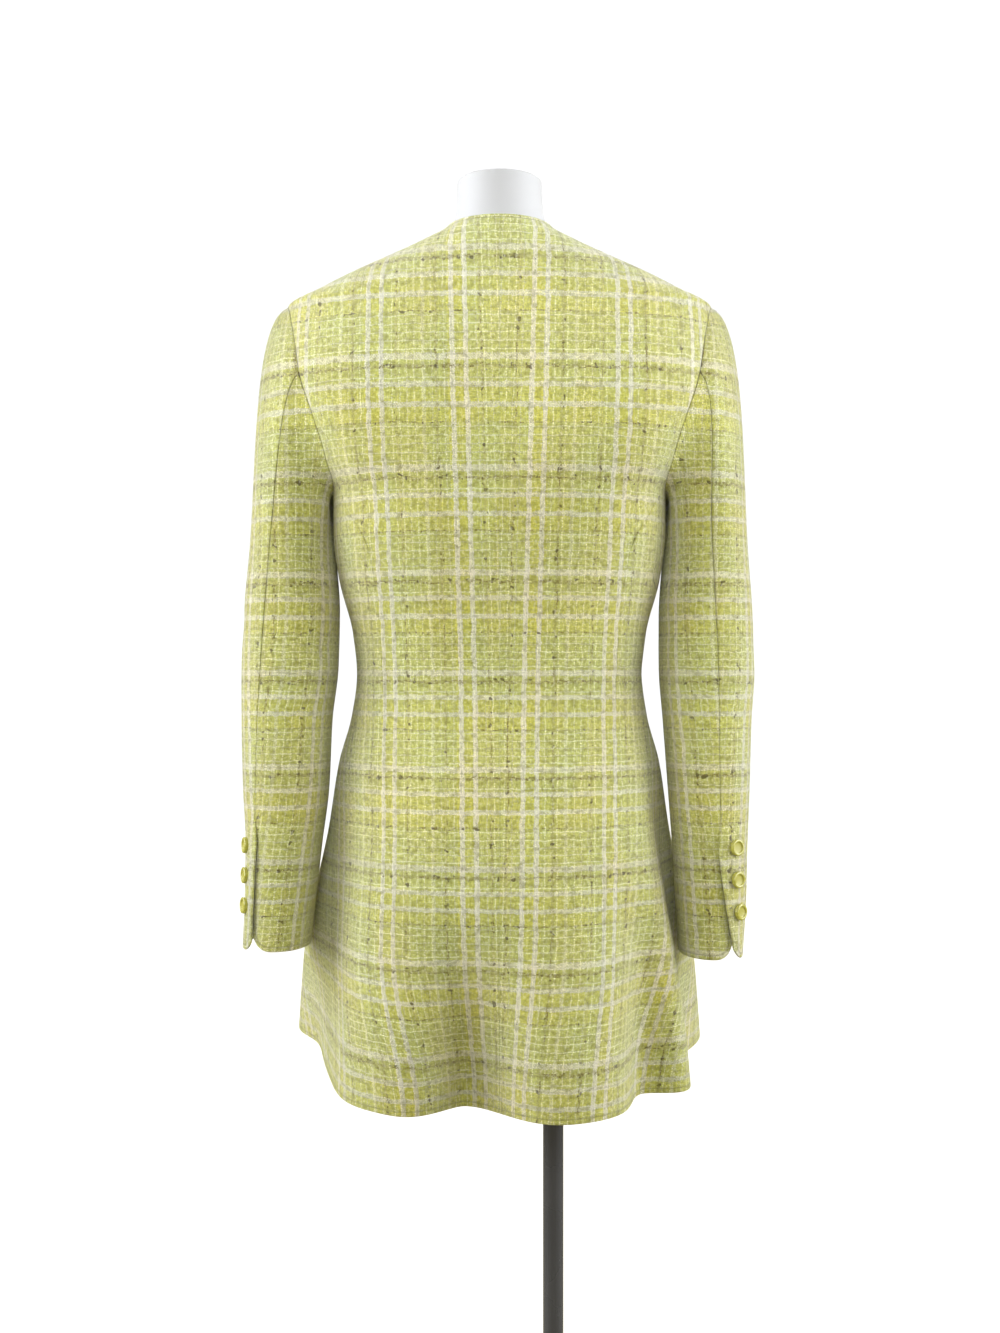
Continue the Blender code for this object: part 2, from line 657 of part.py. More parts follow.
def seat_button(item, point, normal, seat):
    item.location = point + normal * seat
    item.rotation_mode = "QUATERNION"
    item.rotation_quaternion = Vector((0.0, 0.0, 1.0)).rotation_difference(normal)


def make_cuff_buttons(label, table, side, collection):
    cuff = table[0].height
    for i in range(CUFF_BUTTONS):
        height = cuff + CUFF_BUTTON_TOP - i * CUFF_BUTTON_PITCH
        place = 1.0 + (BICEP - height) / (BICEP - cuff)
        girth = 0.25 * (column(table, "outer", height) - column(table, "inner", height))
        girth += 0.5 * column(table, "half_depth", height)
        turn = elbow_turn(table, place) - CUFF_BUTTON_INSET / girth
        point = sleeve_point(table, turn, place)
        normal = surface_normal(lambda u, v: sleeve_point(table, u, -v), turn, -place)
        name = "cuff_button_" + label + "_" + str(i + 1)
        profile = button_profile(CUFF_BUTTON_RADIUS, CUFF_BUTTON_HEIGHT)
        item = turned(name, profile, 16, BUTTON_YELLOW, collection)
        outward = Vector((side * normal.x, normal.y, normal.z))
        seat_button(item, place_sleeve_point(point, side), outward, CUFF_BUTTON_SEAT)


def make_front_buttons(collection):
    turn = -0.5 * math.pi
    for i in range(FRONT_BUTTONS):
        height = FRONT_BUTTON_TOP - i * FRONT_BUTTON_PITCH
        level = level_at_height(turn, height)
        normal = body_normal(turn, level)
        point = body_point(turn, level) + normal * LAP_LIFT + Vector((FORM_X, 0.0, 0.0))
        profile = button_profile(FRONT_BUTTON_RADIUS, FRONT_BUTTON_HEIGHT)
        item = turned("front_button_" + str(i + 1), profile, 16, BUTTON_YELLOW, collection)
        seat_button(item, point, normal, FRONT_BUTTON_SEAT)


def level_at_height(turn, height):
    """The row whose real height at a turn is the one asked for."""
    levels = np.linspace(HEM, NECK, 400)
    return float(np.interp(height, [body_height(turn, level) for level in levels], levels))


def form_ring(height):
    """One level ring of the form's skin, inside the jacket without its flutes."""
    depth = column(FORM_CLEARANCE, "depth", height)
    ring = []
    for i in range(FORM_COLUMNS):
        turn = 2.0 * math.pi * i / FORM_COLUMNS
        across, along = squared_circle(turn, column(BODY_RINGS, "squareness", height))
        side_y = column(BODY_RINGS, "side_y", height)
        end_y = column(BODY_RINGS, "back_y" if along > 0.0 else "front_y", height)
        x = column(BODY_RINGS, "half_width", height) * across
        ring.append(Vector((FORM_X + x, side_y + (end_y - side_y) * abs(along), height)))
    normals = []
    for i in range(FORM_COLUMNS):
        flat = (ring[(i + 1) % FORM_COLUMNS] - ring[i - 1]).cross(Vector((0.0, 0.0, 1.0)))
        normals.append(flat.normalized())
    slope = form_slope(height)
    return [point - normal * (depth * slope) for point, normal in zip(ring, normals)]


def form_slope(height):
    """How much further in a ring moves, where the shoulder slopes, to lie one depth beneath it."""
    step = 0.004
    change = column(BODY_RINGS, "half_width", height + step) - column(BODY_RINGS, "half_width", height - step)
    return math.hypot(1.0, min(0.0, change) / (2.0 * step))


def make_form(collection):
    torso = bmesh.new()
    rings = [form_ring(height) for height in form_levels()]
    for neck in FORM_NECK:
        ring = []
        for i in range(FORM_COLUMNS):
            across, along = squared_circle(2.0 * math.pi * i / FORM_COLUMNS, 2.0)
            end_y = neck.back_y if along > 0.0 else -neck.front_y
            ring.append(Vector((FORM_X + neck.half_width * across, end_y * along, neck.height)))
        rings.append(ring)
    verts = [[torso.verts.new(point) for point in ring] for ring in rings]
    for low, high in zip(verts, verts[1:]):
        for i in range(FORM_COLUMNS):
            j = (i + 1) % FORM_COLUMNS
            torso.faces.new((low[i], low[j], high[j], high[i]))
    torso.faces.new(verts[0][::-1])
    torso.faces.new(verts[-1])
    mesh = bpy.data.meshes.new("form_torso")
    torso.to_mesh(mesh)
    torso.free()
    return add_object("form_torso", mesh, FORM_WHITE, collection)


def form_levels():
    lower = [level for level in SKIRT_ROWS if level > FORM_BOTTOM + 0.02]
    rows = [FORM_BOTTOM] + lower
    rows += steps_between(CHEST_ROW, SHOULDER_TIP, 8)
    return rows + steps_between(SHOULDER_TIP, FORM_SHOULDER, 4)


def make_stand(collection):
    bore = POLE_RADIUS + SOCKET_GAP
    rounding = 0.35 * BASE_THICKNESS
    base = (
        (0.0, BORE_FLOOR),
        (bore, BORE_FLOOR),
        (bore, HUB_HEIGHT),
        (HUB_RADIUS - 0.003, HUB_HEIGHT),
        (HUB_RADIUS, HUB_HEIGHT - 0.003),
        (HUB_RADIUS + 0.001, BASE_THICKNESS + 0.006),
        (HUB_RADIUS + 0.008, BASE_THICKNESS),
        (BASE_RADIUS - rounding, BASE_THICKNESS),
        (BASE_RADIUS - 0.3 * rounding, BASE_THICKNESS - 0.3 * rounding),
        (BASE_RADIUS, BASE_THICKNESS - rounding),
        (BASE_RADIUS, 0.0),
        (0.0, 0.0),
    )
    turned("stand_base", base, 48, STAND_BLACK, collection)
    flange_bottom = FORM_BOTTOM - SOCKET_GAP - FLANGE_THICKNESS
    flange = (
        (0.0, flange_bottom + FLANGE_THICKNESS),
        (FLANGE_RADIUS, flange_bottom + FLANGE_THICKNESS),
        (FLANGE_RADIUS, flange_bottom + 0.002),
        (FLANGE_RADIUS - 0.002, flange_bottom),
        (bore, flange_bottom),
        (bore, flange_bottom + FLANGE_BORE),
        (0.0, flange_bottom + FLANGE_BORE),
    )
    turned("form_flange", flange, 24, STAND_BLACK, collection)
    bottom = BORE_FLOOR + SOCKET_GAP
    top = flange_bottom + FLANGE_BORE - SOCKET_GAP
    shell = bmesh.new()
    bmesh.ops.create_cone(
        shell, cap_ends=True, segments=24, radius1=POLE_RADIUS, radius2=POLE_RADIUS, depth=top - bottom
    )
    mesh = bpy.data.meshes.new("stand_pole")
    shell.to_mesh(mesh)
    shell.free()
    pole = add_object("stand_pole", mesh, STAND_BLACK, collection)
    pole.location = (0.0, 0.0, 0.5 * (bottom + top))


# ---------------------------------------------------------------- the whole object
def clear_scene():
    for item in list(bpy.data.objects):
        bpy.data.objects.remove(item, do_unlink=True)


def make_jacket(collection):
    body_panel("back_left", back_places(), collection)
    body_panel("back_right", back_places(), collection, on_right=True)
    body_panel("side_back_left", side_back_places(), collection, armhole_on_top=True)
    body_panel("side_back_right", side_back_places(), collection, on_right=True, armhole_on_top=True)
    left_lines = (-LAP_UNDER, 0.0, LAP_OVER)
    right_lines = (-LAP_OVER, 0.0, LAP_STEP[1], LAP_STEP[0])
    body_panel("front_left", front_places(left_lines), collection)
    body_panel("front_right", front_places(right_lines), collection, on_right=True, lift=lap_lift)
    make_sleeve("left", LEFT_SLEEVE, 1.0, collection)
    make_sleeve("right", RIGHT_SLEEVE, -1.0, collection)


def main():
    clear_scene()
    collection = bpy.data.collections.new(OBJECT_NAME)
    bpy.context.scene.collection.children.link(collection)
    make_jacket(collection)
    make_cuff_buttons("left", LEFT_SLEEVE, 1.0, collection)
    make_cuff_buttons("right", RIGHT_SLEEVE, -1.0, collection)
    make_front_buttons(collection)
    make_form(collection)
    make_stand(collection)


main()
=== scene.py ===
# %% [markdown]
# # A collarless jacket on a dress form
#
# A long, fitted jacket of loose checked tweed, hung on a white form without limbs that
# stands on a dark pole.  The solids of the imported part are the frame.  Every piece made
# here stands in for one of them, in the same place and at the same size, with the finer
# surface and the finish that a solid doesn't carry.

# %% The frame and the tools
import math
from collections import namedtuple

import bpy
import numpy as np
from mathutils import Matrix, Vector


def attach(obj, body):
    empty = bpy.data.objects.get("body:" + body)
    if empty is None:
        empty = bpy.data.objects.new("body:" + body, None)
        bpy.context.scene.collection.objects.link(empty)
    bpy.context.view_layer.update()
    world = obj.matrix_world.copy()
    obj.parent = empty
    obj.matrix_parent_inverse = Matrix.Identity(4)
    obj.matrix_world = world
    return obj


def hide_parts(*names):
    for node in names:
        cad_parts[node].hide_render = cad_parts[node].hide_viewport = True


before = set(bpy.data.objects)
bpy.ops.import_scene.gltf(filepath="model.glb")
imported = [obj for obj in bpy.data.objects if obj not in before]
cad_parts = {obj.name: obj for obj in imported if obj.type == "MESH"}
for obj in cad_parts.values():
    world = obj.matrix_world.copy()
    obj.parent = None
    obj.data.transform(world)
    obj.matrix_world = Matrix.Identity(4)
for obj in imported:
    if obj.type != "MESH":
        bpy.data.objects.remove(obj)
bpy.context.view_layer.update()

ROOT = "root"
scene = bpy.context.scene
print("solids in the frame:", len(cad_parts))

# %% [markdown]
# ## The measurements of the jacket
#
# A pattern cutter writes a body down as level rings with a few numbers each.  The same can
# be done here: a ring says how far the cloth reaches to the side, the back and the front at
# one height, and a smooth curve through each column of numbers gives every height between.
# Lengths are in metres.  The wearer faces -Y and their left side is +X.  A turn is a place
# round the body: 0 on the wearer's left, 90 degrees at centre back.

# %% Named sizes
CLOTH = 0.0020              # thickness of the tweed with its backing
FORM_X = 0.050              # the form's middle lies this far to the left of the pole

HEM = 0.601
LEFT_HEM_LIFT = 0.029       # the hem rises towards each side by this much
RIGHT_HEM_LIFT = 0.021
LIFT_START = 0.800
LIFT_POWER = 3              # a higher power keeps the lift nearer the sides
WAIST = 0.972
NECK = 1.385
FRONT_NECK_DROP = 0.075
NECK_DROP_POWER = 11
SHOULDER_TIP = 1.3116
UNDERARM = 1.135
CHEST_ROW = 1.090
BODY_RADIUS = 0.14          # rough radii, for lengths round the body and round a sleeve
SLEEVE_RADIUS = 0.045
WRIST_RADIUS = 0.040

SIDE_SEAM_TURN = -12.0
ARMHOLE_TURN_BACK = 37.0
ARMHOLE_TURN_FRONT = 42.0
ARMHOLE_ROUNDNESS = 0.6
ARMHOLE_SKEW = 0.12
ARMHOLE_BACK_CORNER = 142.0     # the side-back seam meets the armhole here
ARMHOLE_FRONT_CORNER = -162.0   # and the side seam here

LAP_OVER = 0.020            # each front reaches this far past centre front
LAP_UNDER = 0.012
LAP_STEP = (0.024, 0.013)   # the right front rises between these distances from it
LAP_LIFT = CLOTH + 0.0008

BICEP = 1.080
SLEEVE_SQUARENESS = 2.15
CAP_LENGTH = 0.21           # from the armhole to the bicep along the cloth
CAP_GAP = 0.0002            # space between the sleeve's edge and the armhole
CAP_OUT_TOP = 0.100         # how strongly the cloth leaves the armhole outwards, at its top
CAP_OUT_BOTTOM = 0.022      # and at its bottom
CAP_DOWN = 0.038            # downwards
CAP_ROUND = 0.015           # to the back and the front
CAP_SINK = 0.050            # and forwards, so that it dips beside the lower armhole's back
SINK_BACK = (0.1, 0.5)      # the dip grows over this stretch of the sine of the turn
SINK_LOW = (0.35, 0.7)      # and over this stretch of the cosine
ELBOW_SEAM_START = 79.0
ELBOW_SEAM_SWING = 6.0
FRONT_SLEEVE_SEAM = -122.0
COLUMN_POWER = 1.3          # columns lie closer together next to the elbow seam
VENT_LENGTH = 0.124
VENT_LAP = 0.004            # the upper piece laps this far over the under piece
VENT_RISE = 0.0036          # and stands this far off it at the cuff
VENT_RISE_SHARES = (0.7, 0.3)   # shares of the rise at the vent's top, and added downwards
VENT_SINK = 0.0004          # the under piece gives way by this much
VENT_SPREAD = 0.016         # the lap and the rise fade over this distance from the seam
VENT_START = 0.09           # the vent opens over this share of the way from bicep to cuff
CORNER_RADIUS = 0.020       # lower corners at the vent: the under piece's
TIP_RADIUS = 0.012          # and the upper piece's

CUFF_BUTTON_RADIUS = 0.0074
CUFF_BUTTON_HEIGHT = 0.0040
CUFF_BUTTONS = 3
CUFF_BUTTON_PITCH = {"left": 0.0262, "right": 0.0282}
CUFF_BUTTON_TOP = {"left": 0.0905, "right": 0.0975}
CUFF_BUTTON_PULL = {"left": 0.0013, "right": 0.0}    # the thread pulls them into the cloth
CUFF_BUTTON_INSET = 0.0150      # from the seam; the lower buttons lie nearer to it
CUFF_BUTTON_INSET_STEP = 0.0024
CUFF_BUTTON_SEAT = 0.0003       # its underside stands this far off the cloth
FRONT_BUTTON_RADIUS = 0.010
FRONT_BUTTON_HEIGHT = 0.0045
FRONT_BUTTONS = 5
FRONT_BUTTON_TOP = 1.283
FRONT_BUTTON_PITCH = 0.098
FRONT_BUTTON_SEAT = 0.0009

FORM_BOTTOM = 0.740
FORM_TOP = 1.430
FORM_SHOULDER = 1.362


def rows_of(kind, table):
    """Name the columns of a table of numbers."""
    return tuple(kind(*row) for row in table)


# %% Rings, seams and folds
Level = namedtuple("Level", "height value")
Ring = namedtuple("Ring", "height half_width side_y back_y front_y squareness")
BODY_RINGS = rows_of(Ring, (
    (0.590, 0.199, -0.075, 0.160, -0.170, 2.40),
    (0.656, 0.194, -0.070, 0.153, -0.160, 2.35),
    (0.712, 0.188, -0.062, 0.146, -0.149, 2.30),
    (0.770, 0.175, -0.045, 0.137, -0.137, 2.30),
    (0.828, 0.161, -0.030, 0.127, -0.123, 2.30),
    (0.893, 0.149, -0.012, 0.109, -0.111, 2.30),
    (0.935, 0.137, -0.005, 0.097, -0.105, 2.30),
    (0.972, 0.132, 0.000, 0.092, -0.104, 2.30),
    (1.010, 0.1355, 0.000, 0.095, -0.108, 2.35),
    (1.060, 0.148, 0.000, 0.104, -0.118, 2.45),
    (1.100, 0.153, 0.000, 0.110, -0.126, 2.60),
    (1.135, 0.1525, 0.000, 0.114, -0.130, 2.80),
    (1.165, 0.165, 0.000, 0.116, -0.127, 3.30),
    (1.200, 0.180, 0.000, 0.115, -0.119, 3.50),
    (1.246, 0.197, 0.000, 0.108, -0.102, 3.00),
    (1.285, 0.2005, -0.002, 0.097, -0.087, 2.50),
    (1.3116, 0.1965, -0.004, 0.087, -0.076, 2.30),
    (1.3255, 0.171, -0.005, 0.082, -0.069, 2.35),
    (1.3395, 0.144, -0.006, 0.077, -0.062, 2.30),
    (1.3534, 0.113, -0.006, 0.072, -0.056, 2.25),
    (1.3674, 0.081, -0.005, 0.066, -0.051, 2.20),
    (1.3850, 0.050, -0.003, 0.058, -0.045, 2.10),
    (1.4000, 0.045, -0.002, 0.054, -0.042, 2.00),
))
SIDE_BACK_SEAM = rows_of(Level, (
    (0.590, 0.066), (0.700, 0.082), (0.884, 0.099), (0.968, 0.104),
    (1.039, 0.108), (1.074, 0.113), (1.118, 0.128), (1.160, 0.1535),
))
Fold = namedtuple("Fold", "turn width_before width_after reach start")
FOLDS = rows_of(Fold, (
    (79.5, 8.0, 15.0, -0.050, 0.790),
    (68.0, 9.0, 6.0, 0.003, 0.780),
    (103.0, 9.0, 14.0, 0.012, 0.860),
    (118.0, 9.0, 7.0, 0.003, 0.860),
    (131.0, 8.0, 5.0, -0.025, 0.820),
    (139.5, 5.0, 5.0, 0.010, 0.880),
    (156.0, 9.0, 14.0, -0.022, 0.970),
    (52.0, 8.0, 8.0, 0.006, 0.860),
    (33.0, 15.0, 15.0, -0.018, 0.930),
    (17.0, 9.0, 12.0, -0.018, 0.760),
    (-32.0, 12.0, 9.0, -0.014, 0.820),
    (-58.0, 9.0, 14.0, -0.018, 0.860),
    (-116.0, 13.0, 10.0, -0.020, 0.840),
    (-147.0, 9.0, 12.0, -0.013, 0.800),
))

# %% Rings of the sleeves, the form's clearance and its neck
SleeveRing = namedtuple("SleeveRing", "height inner outer mid_y half_depth elbow_turn")
LEFT_SLEEVE = rows_of(SleeveRing, (
    (0.7300, 0.1705, 0.2305, 0.042, 0.046, 55.0),
    (0.7700, 0.1665, 0.2295, 0.037, 0.047, 52.0),
    (0.8200, 0.1615, 0.2298, 0.031, 0.049, 53.0),
    (0.8700, 0.1560, 0.2334, 0.024, 0.051, 56.0),
    (0.9300, 0.1540, 0.2360, 0.016, 0.053, 60.0),
    (0.9800, 0.1490, 0.2370, 0.010, 0.055, 63.0),
    (1.0300, 0.1482, 0.2355, 0.006, 0.057, 66.0),
    (1.0800, 0.1516, 0.2310, 0.004, 0.060, 69.0),
))
RIGHT_SLEEVE = rows_of(SleeveRing, (
    (0.7230, 0.1620, 0.2185, 0.042, 0.046, 55.0),
    (0.7700, 0.1595, 0.2225, 0.037, 0.047, 72.0),
    (0.8200, 0.1572, 0.2245, 0.032, 0.049, 82.0),
    (0.8700, 0.1542, 0.2275, 0.025, 0.051, 84.0),
    (0.9300, 0.1505, 0.2305, 0.017, 0.053, 84.0),
    (0.9800, 0.1475, 0.2345, 0.010, 0.055, 85.0),
    (1.0300, 0.1480, 0.2330, 0.006, 0.057, 87.0),
    (1.0800, 0.1516, 0.2295, 0.004, 0.060, 91.0),
))
FORM_CLEARANCE = rows_of(Level, (
    (0.700, 0.034), (0.740, 0.029), (0.800, 0.018), (0.870, 0.012),
    (0.972, 0.008), (1.080, 0.008), (1.200, 0.0070), (1.3000, 0.0046),
    (1.3660, 0.0034),
))
NeckRing = namedtuple("NeckRing", "height half_width back_y front_y")
FORM_NECK = rows_of(NeckRing, (
    (1.3780, 0.0490, 0.0520, -0.0440),
    (1.3880, 0.0432, 0.0480, -0.0420),
    (1.4020, 0.0405, 0.0450, -0.0410),
    (FORM_TOP - 0.0012, 0.0392, 0.0430, -0.0400),
    (FORM_TOP, 0.0380, 0.0418, -0.0388),
))
print("body rings:", len(BODY_RINGS), " folds of the skirt:", len(FOLDS))

# %% [markdown]
# ## The surface of the cloth
#
# The body is one surface, and so is each sleeve.  A point is asked for by its turn and its
# level, and all panels ask the same surface, so two panels that meet at a seam agree about
# the line they share.  Working on whole arrays of points at once keeps this quick.

# %% Smooth curves through a table
NUDGE = 1.0e-4
HALF_TURN = math.pi
RIGHT_ANGLE = 0.5 * math.pi


def smoothstep(value):
    value = np.clip(value, 0.0, 1.0)
    return value * value * (3.0 - 2.0 * value)


def wrapped(turn):
    """The same turn, between minus and plus half a turn."""
    return (turn + HALF_TURN) % (2.0 * HALF_TURN) - HALF_TURN


def column(table, name, height):
    """Read one named column of a table at many heights, without overshoot between rows."""
    heights = np.array([row.height for row in table])
    values = np.array([getattr(row, name) for row in table])
    steps = np.diff(heights)
    slopes = np.diff(values) / steps
    tangents = np.concatenate([slopes[:1], np.zeros(len(values) - 2), slopes[-1:]])
    for i in range(1, len(values) - 1):
        if slopes[i - 1] * slopes[i] > 0.0:
            before = 2.0 * steps[i] + steps[i - 1]
            after = steps[i] + 2.0 * steps[i - 1]
            tangents[i] = (before + after) / (before / slopes[i - 1] + after / slopes[i])
    height = np.clip(height, heights[0], heights[-1])
    i = np.clip(np.searchsorted(heights, height, side="right") - 1, 0, len(steps) - 1)
    t = (height - heights[i]) / steps[i]
    lead = t * (1.0 - t) ** 2 * steps[i]
    tail = t * t * (t - 1.0) * steps[i]
    line = values[i] + smoothstep(t) * (values[i + 1] - values[i])
    return line + lead * tangents[i] + tail * tangents[i + 1]


def half_width(height):
    return column(BODY_RINGS, "half_width", height)


def squared_circle(turn, squareness):
    """Points on a circle of radius one that is squared off."""
    across, along = np.cos(turn), np.sin(turn)
    size = (np.abs(across) ** squareness + np.abs(along) ** squareness) ** (1.0 / squareness)
    return across / size, along / size


print("half width at the waist:", round(float(half_width(WAIST)), 4))

# %% Soft creases
Crease = namedtuple("Crease", "turn height half_length half_width depth slant")
BODY_CREASES = rows_of(Crease, (
    (52.0, 1.105, 0.052, 0.011, -0.0016, -38.0),
    (60.0, 1.060, 0.040, 0.009, -0.0011, -30.0),
    (127.0, 1.110, 0.045, 0.010, -0.0014, 42.0),
    (69.0, 0.982, 0.046, 0.008, -0.0011, 6.0),
    (110.0, 0.991, 0.038, 0.007, -0.0010, -9.0),
    (83.0, 1.012, 0.030, 0.008, 0.0009, 3.0),
    (122.0, 0.948, 0.034, 0.008, -0.0010, 14.0),
    (47.0, 0.945, 0.036, 0.009, -0.0012, -12.0),
    (64.0, 0.760, 0.070, 0.013, 0.0013, 82.0),
    (113.0, 0.735, 0.062, 0.012, 0.0011, 96.0),
    (20.0, 0.985, 0.040, 0.009, -0.0013, 10.0),
    (164.0, 0.978, 0.044, 0.009, -0.0012, -7.0),
    (-48.0, 1.070, 0.050, 0.012, -0.0015, 34.0),
    (-134.0, 1.062, 0.044, 0.011, -0.0014, -31.0),
    (-66.0, 0.978, 0.034, 0.008, -0.0010, 8.0),
    (-118.0, 0.969, 0.038, 0.009, -0.0011, -6.0),
    (-100.0, 0.760, 0.065, 0.013, 0.0012, 88.0),
))
LEFT_SLEEVE_CREASES = rows_of(Crease, (
    (96.0, 0.968, 0.026, 0.0075, -0.0016, 16.0),
    (118.0, 0.938, 0.030, 0.0080, -0.0013, -10.0),
    (60.0, 0.915, 0.024, 0.0070, -0.0011, 22.0),
    (150.0, 1.000, 0.028, 0.0085, -0.0015, 28.0),
    (110.0, 0.862, 0.026, 0.0080, -0.0010, -18.0),
    (-100.0, 0.930, 0.034, 0.0085, -0.0022, -14.0),
    (-80.0, 0.962, 0.030, 0.0080, -0.0018, 12.0),
    (-120.0, 0.898, 0.026, 0.0075, -0.0014, 9.0),
    (10.0, 1.015, 0.036, 0.0110, -0.0010, 62.0),
))
RIGHT_SLEEVE_CREASES = rows_of(Crease, (
    (104.0, 0.955, 0.030, 0.0080, -0.0015, -13.0),
    (88.0, 0.985, 0.024, 0.0070, -0.0010, 20.0),
    (128.0, 0.905, 0.027, 0.0080, -0.0012, 24.0),
    (160.0, 1.012, 0.026, 0.0080, -0.0014, -24.0),
    (120.0, 0.830, 0.024, 0.0075, -0.0009, 12.0),
    (-95.0, 0.942, 0.036, 0.0090, -0.0021, 10.0),
    (-116.0, 0.912, 0.028, 0.0080, -0.0016, -16.0),
    (-72.0, 0.975, 0.028, 0.0080, -0.0013, -8.0),
    (5.0, 0.990, 0.034, 0.0100, -0.0009, 70.0),
))


def crease_reach(creases, turn, height, radius):
    """How far the creases push the cloth out, at places given by turn and height."""
    reach = 0.0 * height
    for crease in creases:
        away = wrapped(turn - math.radians(crease.turn)) * radius
        above = height - crease.height
        slant = math.radians(crease.slant)
        along = away * math.cos(slant) + above * math.sin(slant)
        beside = above * math.cos(slant) - away * math.sin(slant)
        fade = smoothstep(1.0 - np.abs(along) / crease.half_length)
        reach = reach + crease.depth * fade * np.exp(-((beside / crease.half_width) ** 2))
    return reach


print("creases placed:", sum(
    map(len, (BODY_CREASES, LEFT_SLEEVE_CREASES, RIGHT_SLEEVE_CREASES))))

# %% The body's surface, with the flutes of its skirt


def fold_reach(turn, height):
    """How far the flutes of the skirt push the cloth out."""
    degrees = np.degrees(turn)
    reach = 0.0 * height
    for fold in FOLDS:
        away = (degrees - fold.turn + 180.0) % 360.0 - 180.0
        width = np.where(away > 0.0, fold.width_after, fold.width_before)
        drop = smoothstep((fold.start - height) / (fold.start - HEM))
        reach = reach + fold.reach * drop * np.exp(-((away / width) ** 2))
    return reach


def neck_dip(turn, level):
    """How far a row hangs down at the front, from nothing at the chest to most at the neck."""
    dip = FRONT_NECK_DROP * np.maximum(0.0, -np.sin(turn)) ** NECK_DROP_POWER
    return dip * smoothstep((level - CHEST_ROW) / (NECK - CHEST_ROW))


def body_height(turn, level):
    """The real height of a row: rows rise at the side hem and dip at the front neck."""
    side_lift = np.where(np.cos(turn) > 0.0, LEFT_HEM_LIFT, RIGHT_HEM_LIFT)
    low = smoothstep((LIFT_START - level) / (LIFT_START - HEM))
    lift = side_lift * np.abs(np.cos(turn)) ** LIFT_POWER * low
    return level + lift - neck_dip(turn, level)


def body_section(turn, height):
    """The level section of the body without folds: x, y from its side line, and that line's y."""
    across, along = squared_circle(turn, column(BODY_RINGS, "squareness", height))
    side_y = column(BODY_RINGS, "side_y", height)
    back, front = column(BODY_RINGS, "back_y", height), column(BODY_RINGS, "front_y", height)
    x = half_width(height) * across
    return x, (np.where(along > 0.0, back, front) - side_y) * np.abs(along), side_y


def body_point(turn, level):
    """Points of the jacket's outer face, measured from the middle of the form."""
    turn, level = np.broadcast_arrays(np.asarray(turn, float), np.asarray(level, float))
    height = body_height(turn, level)
    x, y, side_y = body_section(turn, height)
    reach = fold_reach(turn, height) + crease_reach(BODY_CREASES, turn, height, BODY_RADIUS)
    scale = 1.0 + reach / np.hypot(x, y)
    return np.stack([x * scale, side_y + y * scale, height], axis=-1)


def surface_normal(point, u, v):
    """Outward normals of a surface from its slopes; v runs upwards."""
    along_u = point(u + NUDGE, v) - point(u - NUDGE, v)
    along_v = point(u, v + NUDGE) - point(u, v - NUDGE)
    normal = np.cross(along_u, along_v)
    return normal / np.linalg.norm(normal, axis=-1, keepdims=True)


print("centre back at the hem:", body_point(RIGHT_ANGLE, HEM).round(3))

# %% The lines of the seams and the armhole
ALMOST_AT_SIDE = 0.9999     # share of the half width


def armhole(sleeve_turn):
    """(turn, level) of the armhole's edge at a place round it."""
    middle = 0.5 * (SHOULDER_TIP + UNDERARM)
    half = 0.5 * (SHOULDER_TIP - UNDERARM)
    rise = np.cos(sleeve_turn)
    reach = np.where(sleeve_turn > 0.0, ARMHOLE_TURN_BACK, -ARMHOLE_TURN_FRONT)
    bulge = np.abs(np.sin(sleeve_turn)) ** ARMHOLE_ROUNDNESS * (1.0 - ARMHOLE_SKEW * rise)
    return np.radians(reach * bulge), middle + half * rise


def turn_at_distance(distance, level):
    """The turn of a line at a distance to the wearer's left of centre back."""
    across = np.minimum(ALMOST_AT_SIDE, distance / half_width(level))
    squareness = column(BODY_RINGS, "squareness", level)
    return np.arctan2((1.0 - across ** squareness) ** (1.0 / squareness), across)


def into_armhole(seam, level, corner):
    """A seam that bends over into a corner of the armhole at its top."""
    edge, top = armhole(math.radians(corner))
    return seam + (edge - seam) * smoothstep((level - CHEST_ROW) / (top - CHEST_ROW))


def side_back_turn(level):
    seam = turn_at_distance(column(SIDE_BACK_SEAM, "value", level), level)
    return into_armhole(seam, level, ARMHOLE_BACK_CORNER)


def side_seam_turn(level):
    return into_armhole(math.radians(SIDE_SEAM_TURN), level, ARMHOLE_FRONT_CORNER)


def front_turn(distance, level):
    """The turn of a line at a distance to the wearer's left of centre front."""
    return -RIGHT_ANGLE + np.arcsin(distance / half_width(level))


print("side-back seam at the waist, degrees:", round(math.degrees(float(side_back_turn(WAIST))), 1))

# %% The surface of a sleeve


def sleeve_ring_point(table, turn, height):
    creases = LEFT_SLEEVE_CREASES if table is LEFT_SLEEVE else RIGHT_SLEEVE_CREASES
    across, along = squared_circle(turn, SLEEVE_SQUARENESS)
    scale = 1.0 + crease_reach(creases, turn, height, SLEEVE_RADIUS) / SLEEVE_RADIUS
    across, along = across * scale, along * scale
    inner = column(table, "inner", height)
    outer = column(table, "outer", height)
    x = 0.5 * (inner + outer) + 0.5 * (outer - inner) * across
    y = column(table, "mid_y", height) + column(table, "half_depth", height) * along
    return np.stack([x, y, height + 0.0 * x], axis=-1)


def leaving(turn):
    """The direction and strength with which the cap's cloth leaves the armhole."""
    high = 0.5 * (1.0 + np.cos(turn))
    out = CAP_OUT_BOTTOM + (CAP_OUT_TOP - CAP_OUT_BOTTOM) * high
    at_back = smoothstep((np.sin(turn) - SINK_BACK[0]) / SINK_BACK[1])
    below = smoothstep((SINK_LOW[0] - np.cos(turn)) / SINK_LOW[1])
    back = CAP_ROUND * np.sin(turn) - CAP_SINK * (at_back * below)
    return np.stack([out, back, -CAP_DOWN * np.sqrt(high)], axis=-1)


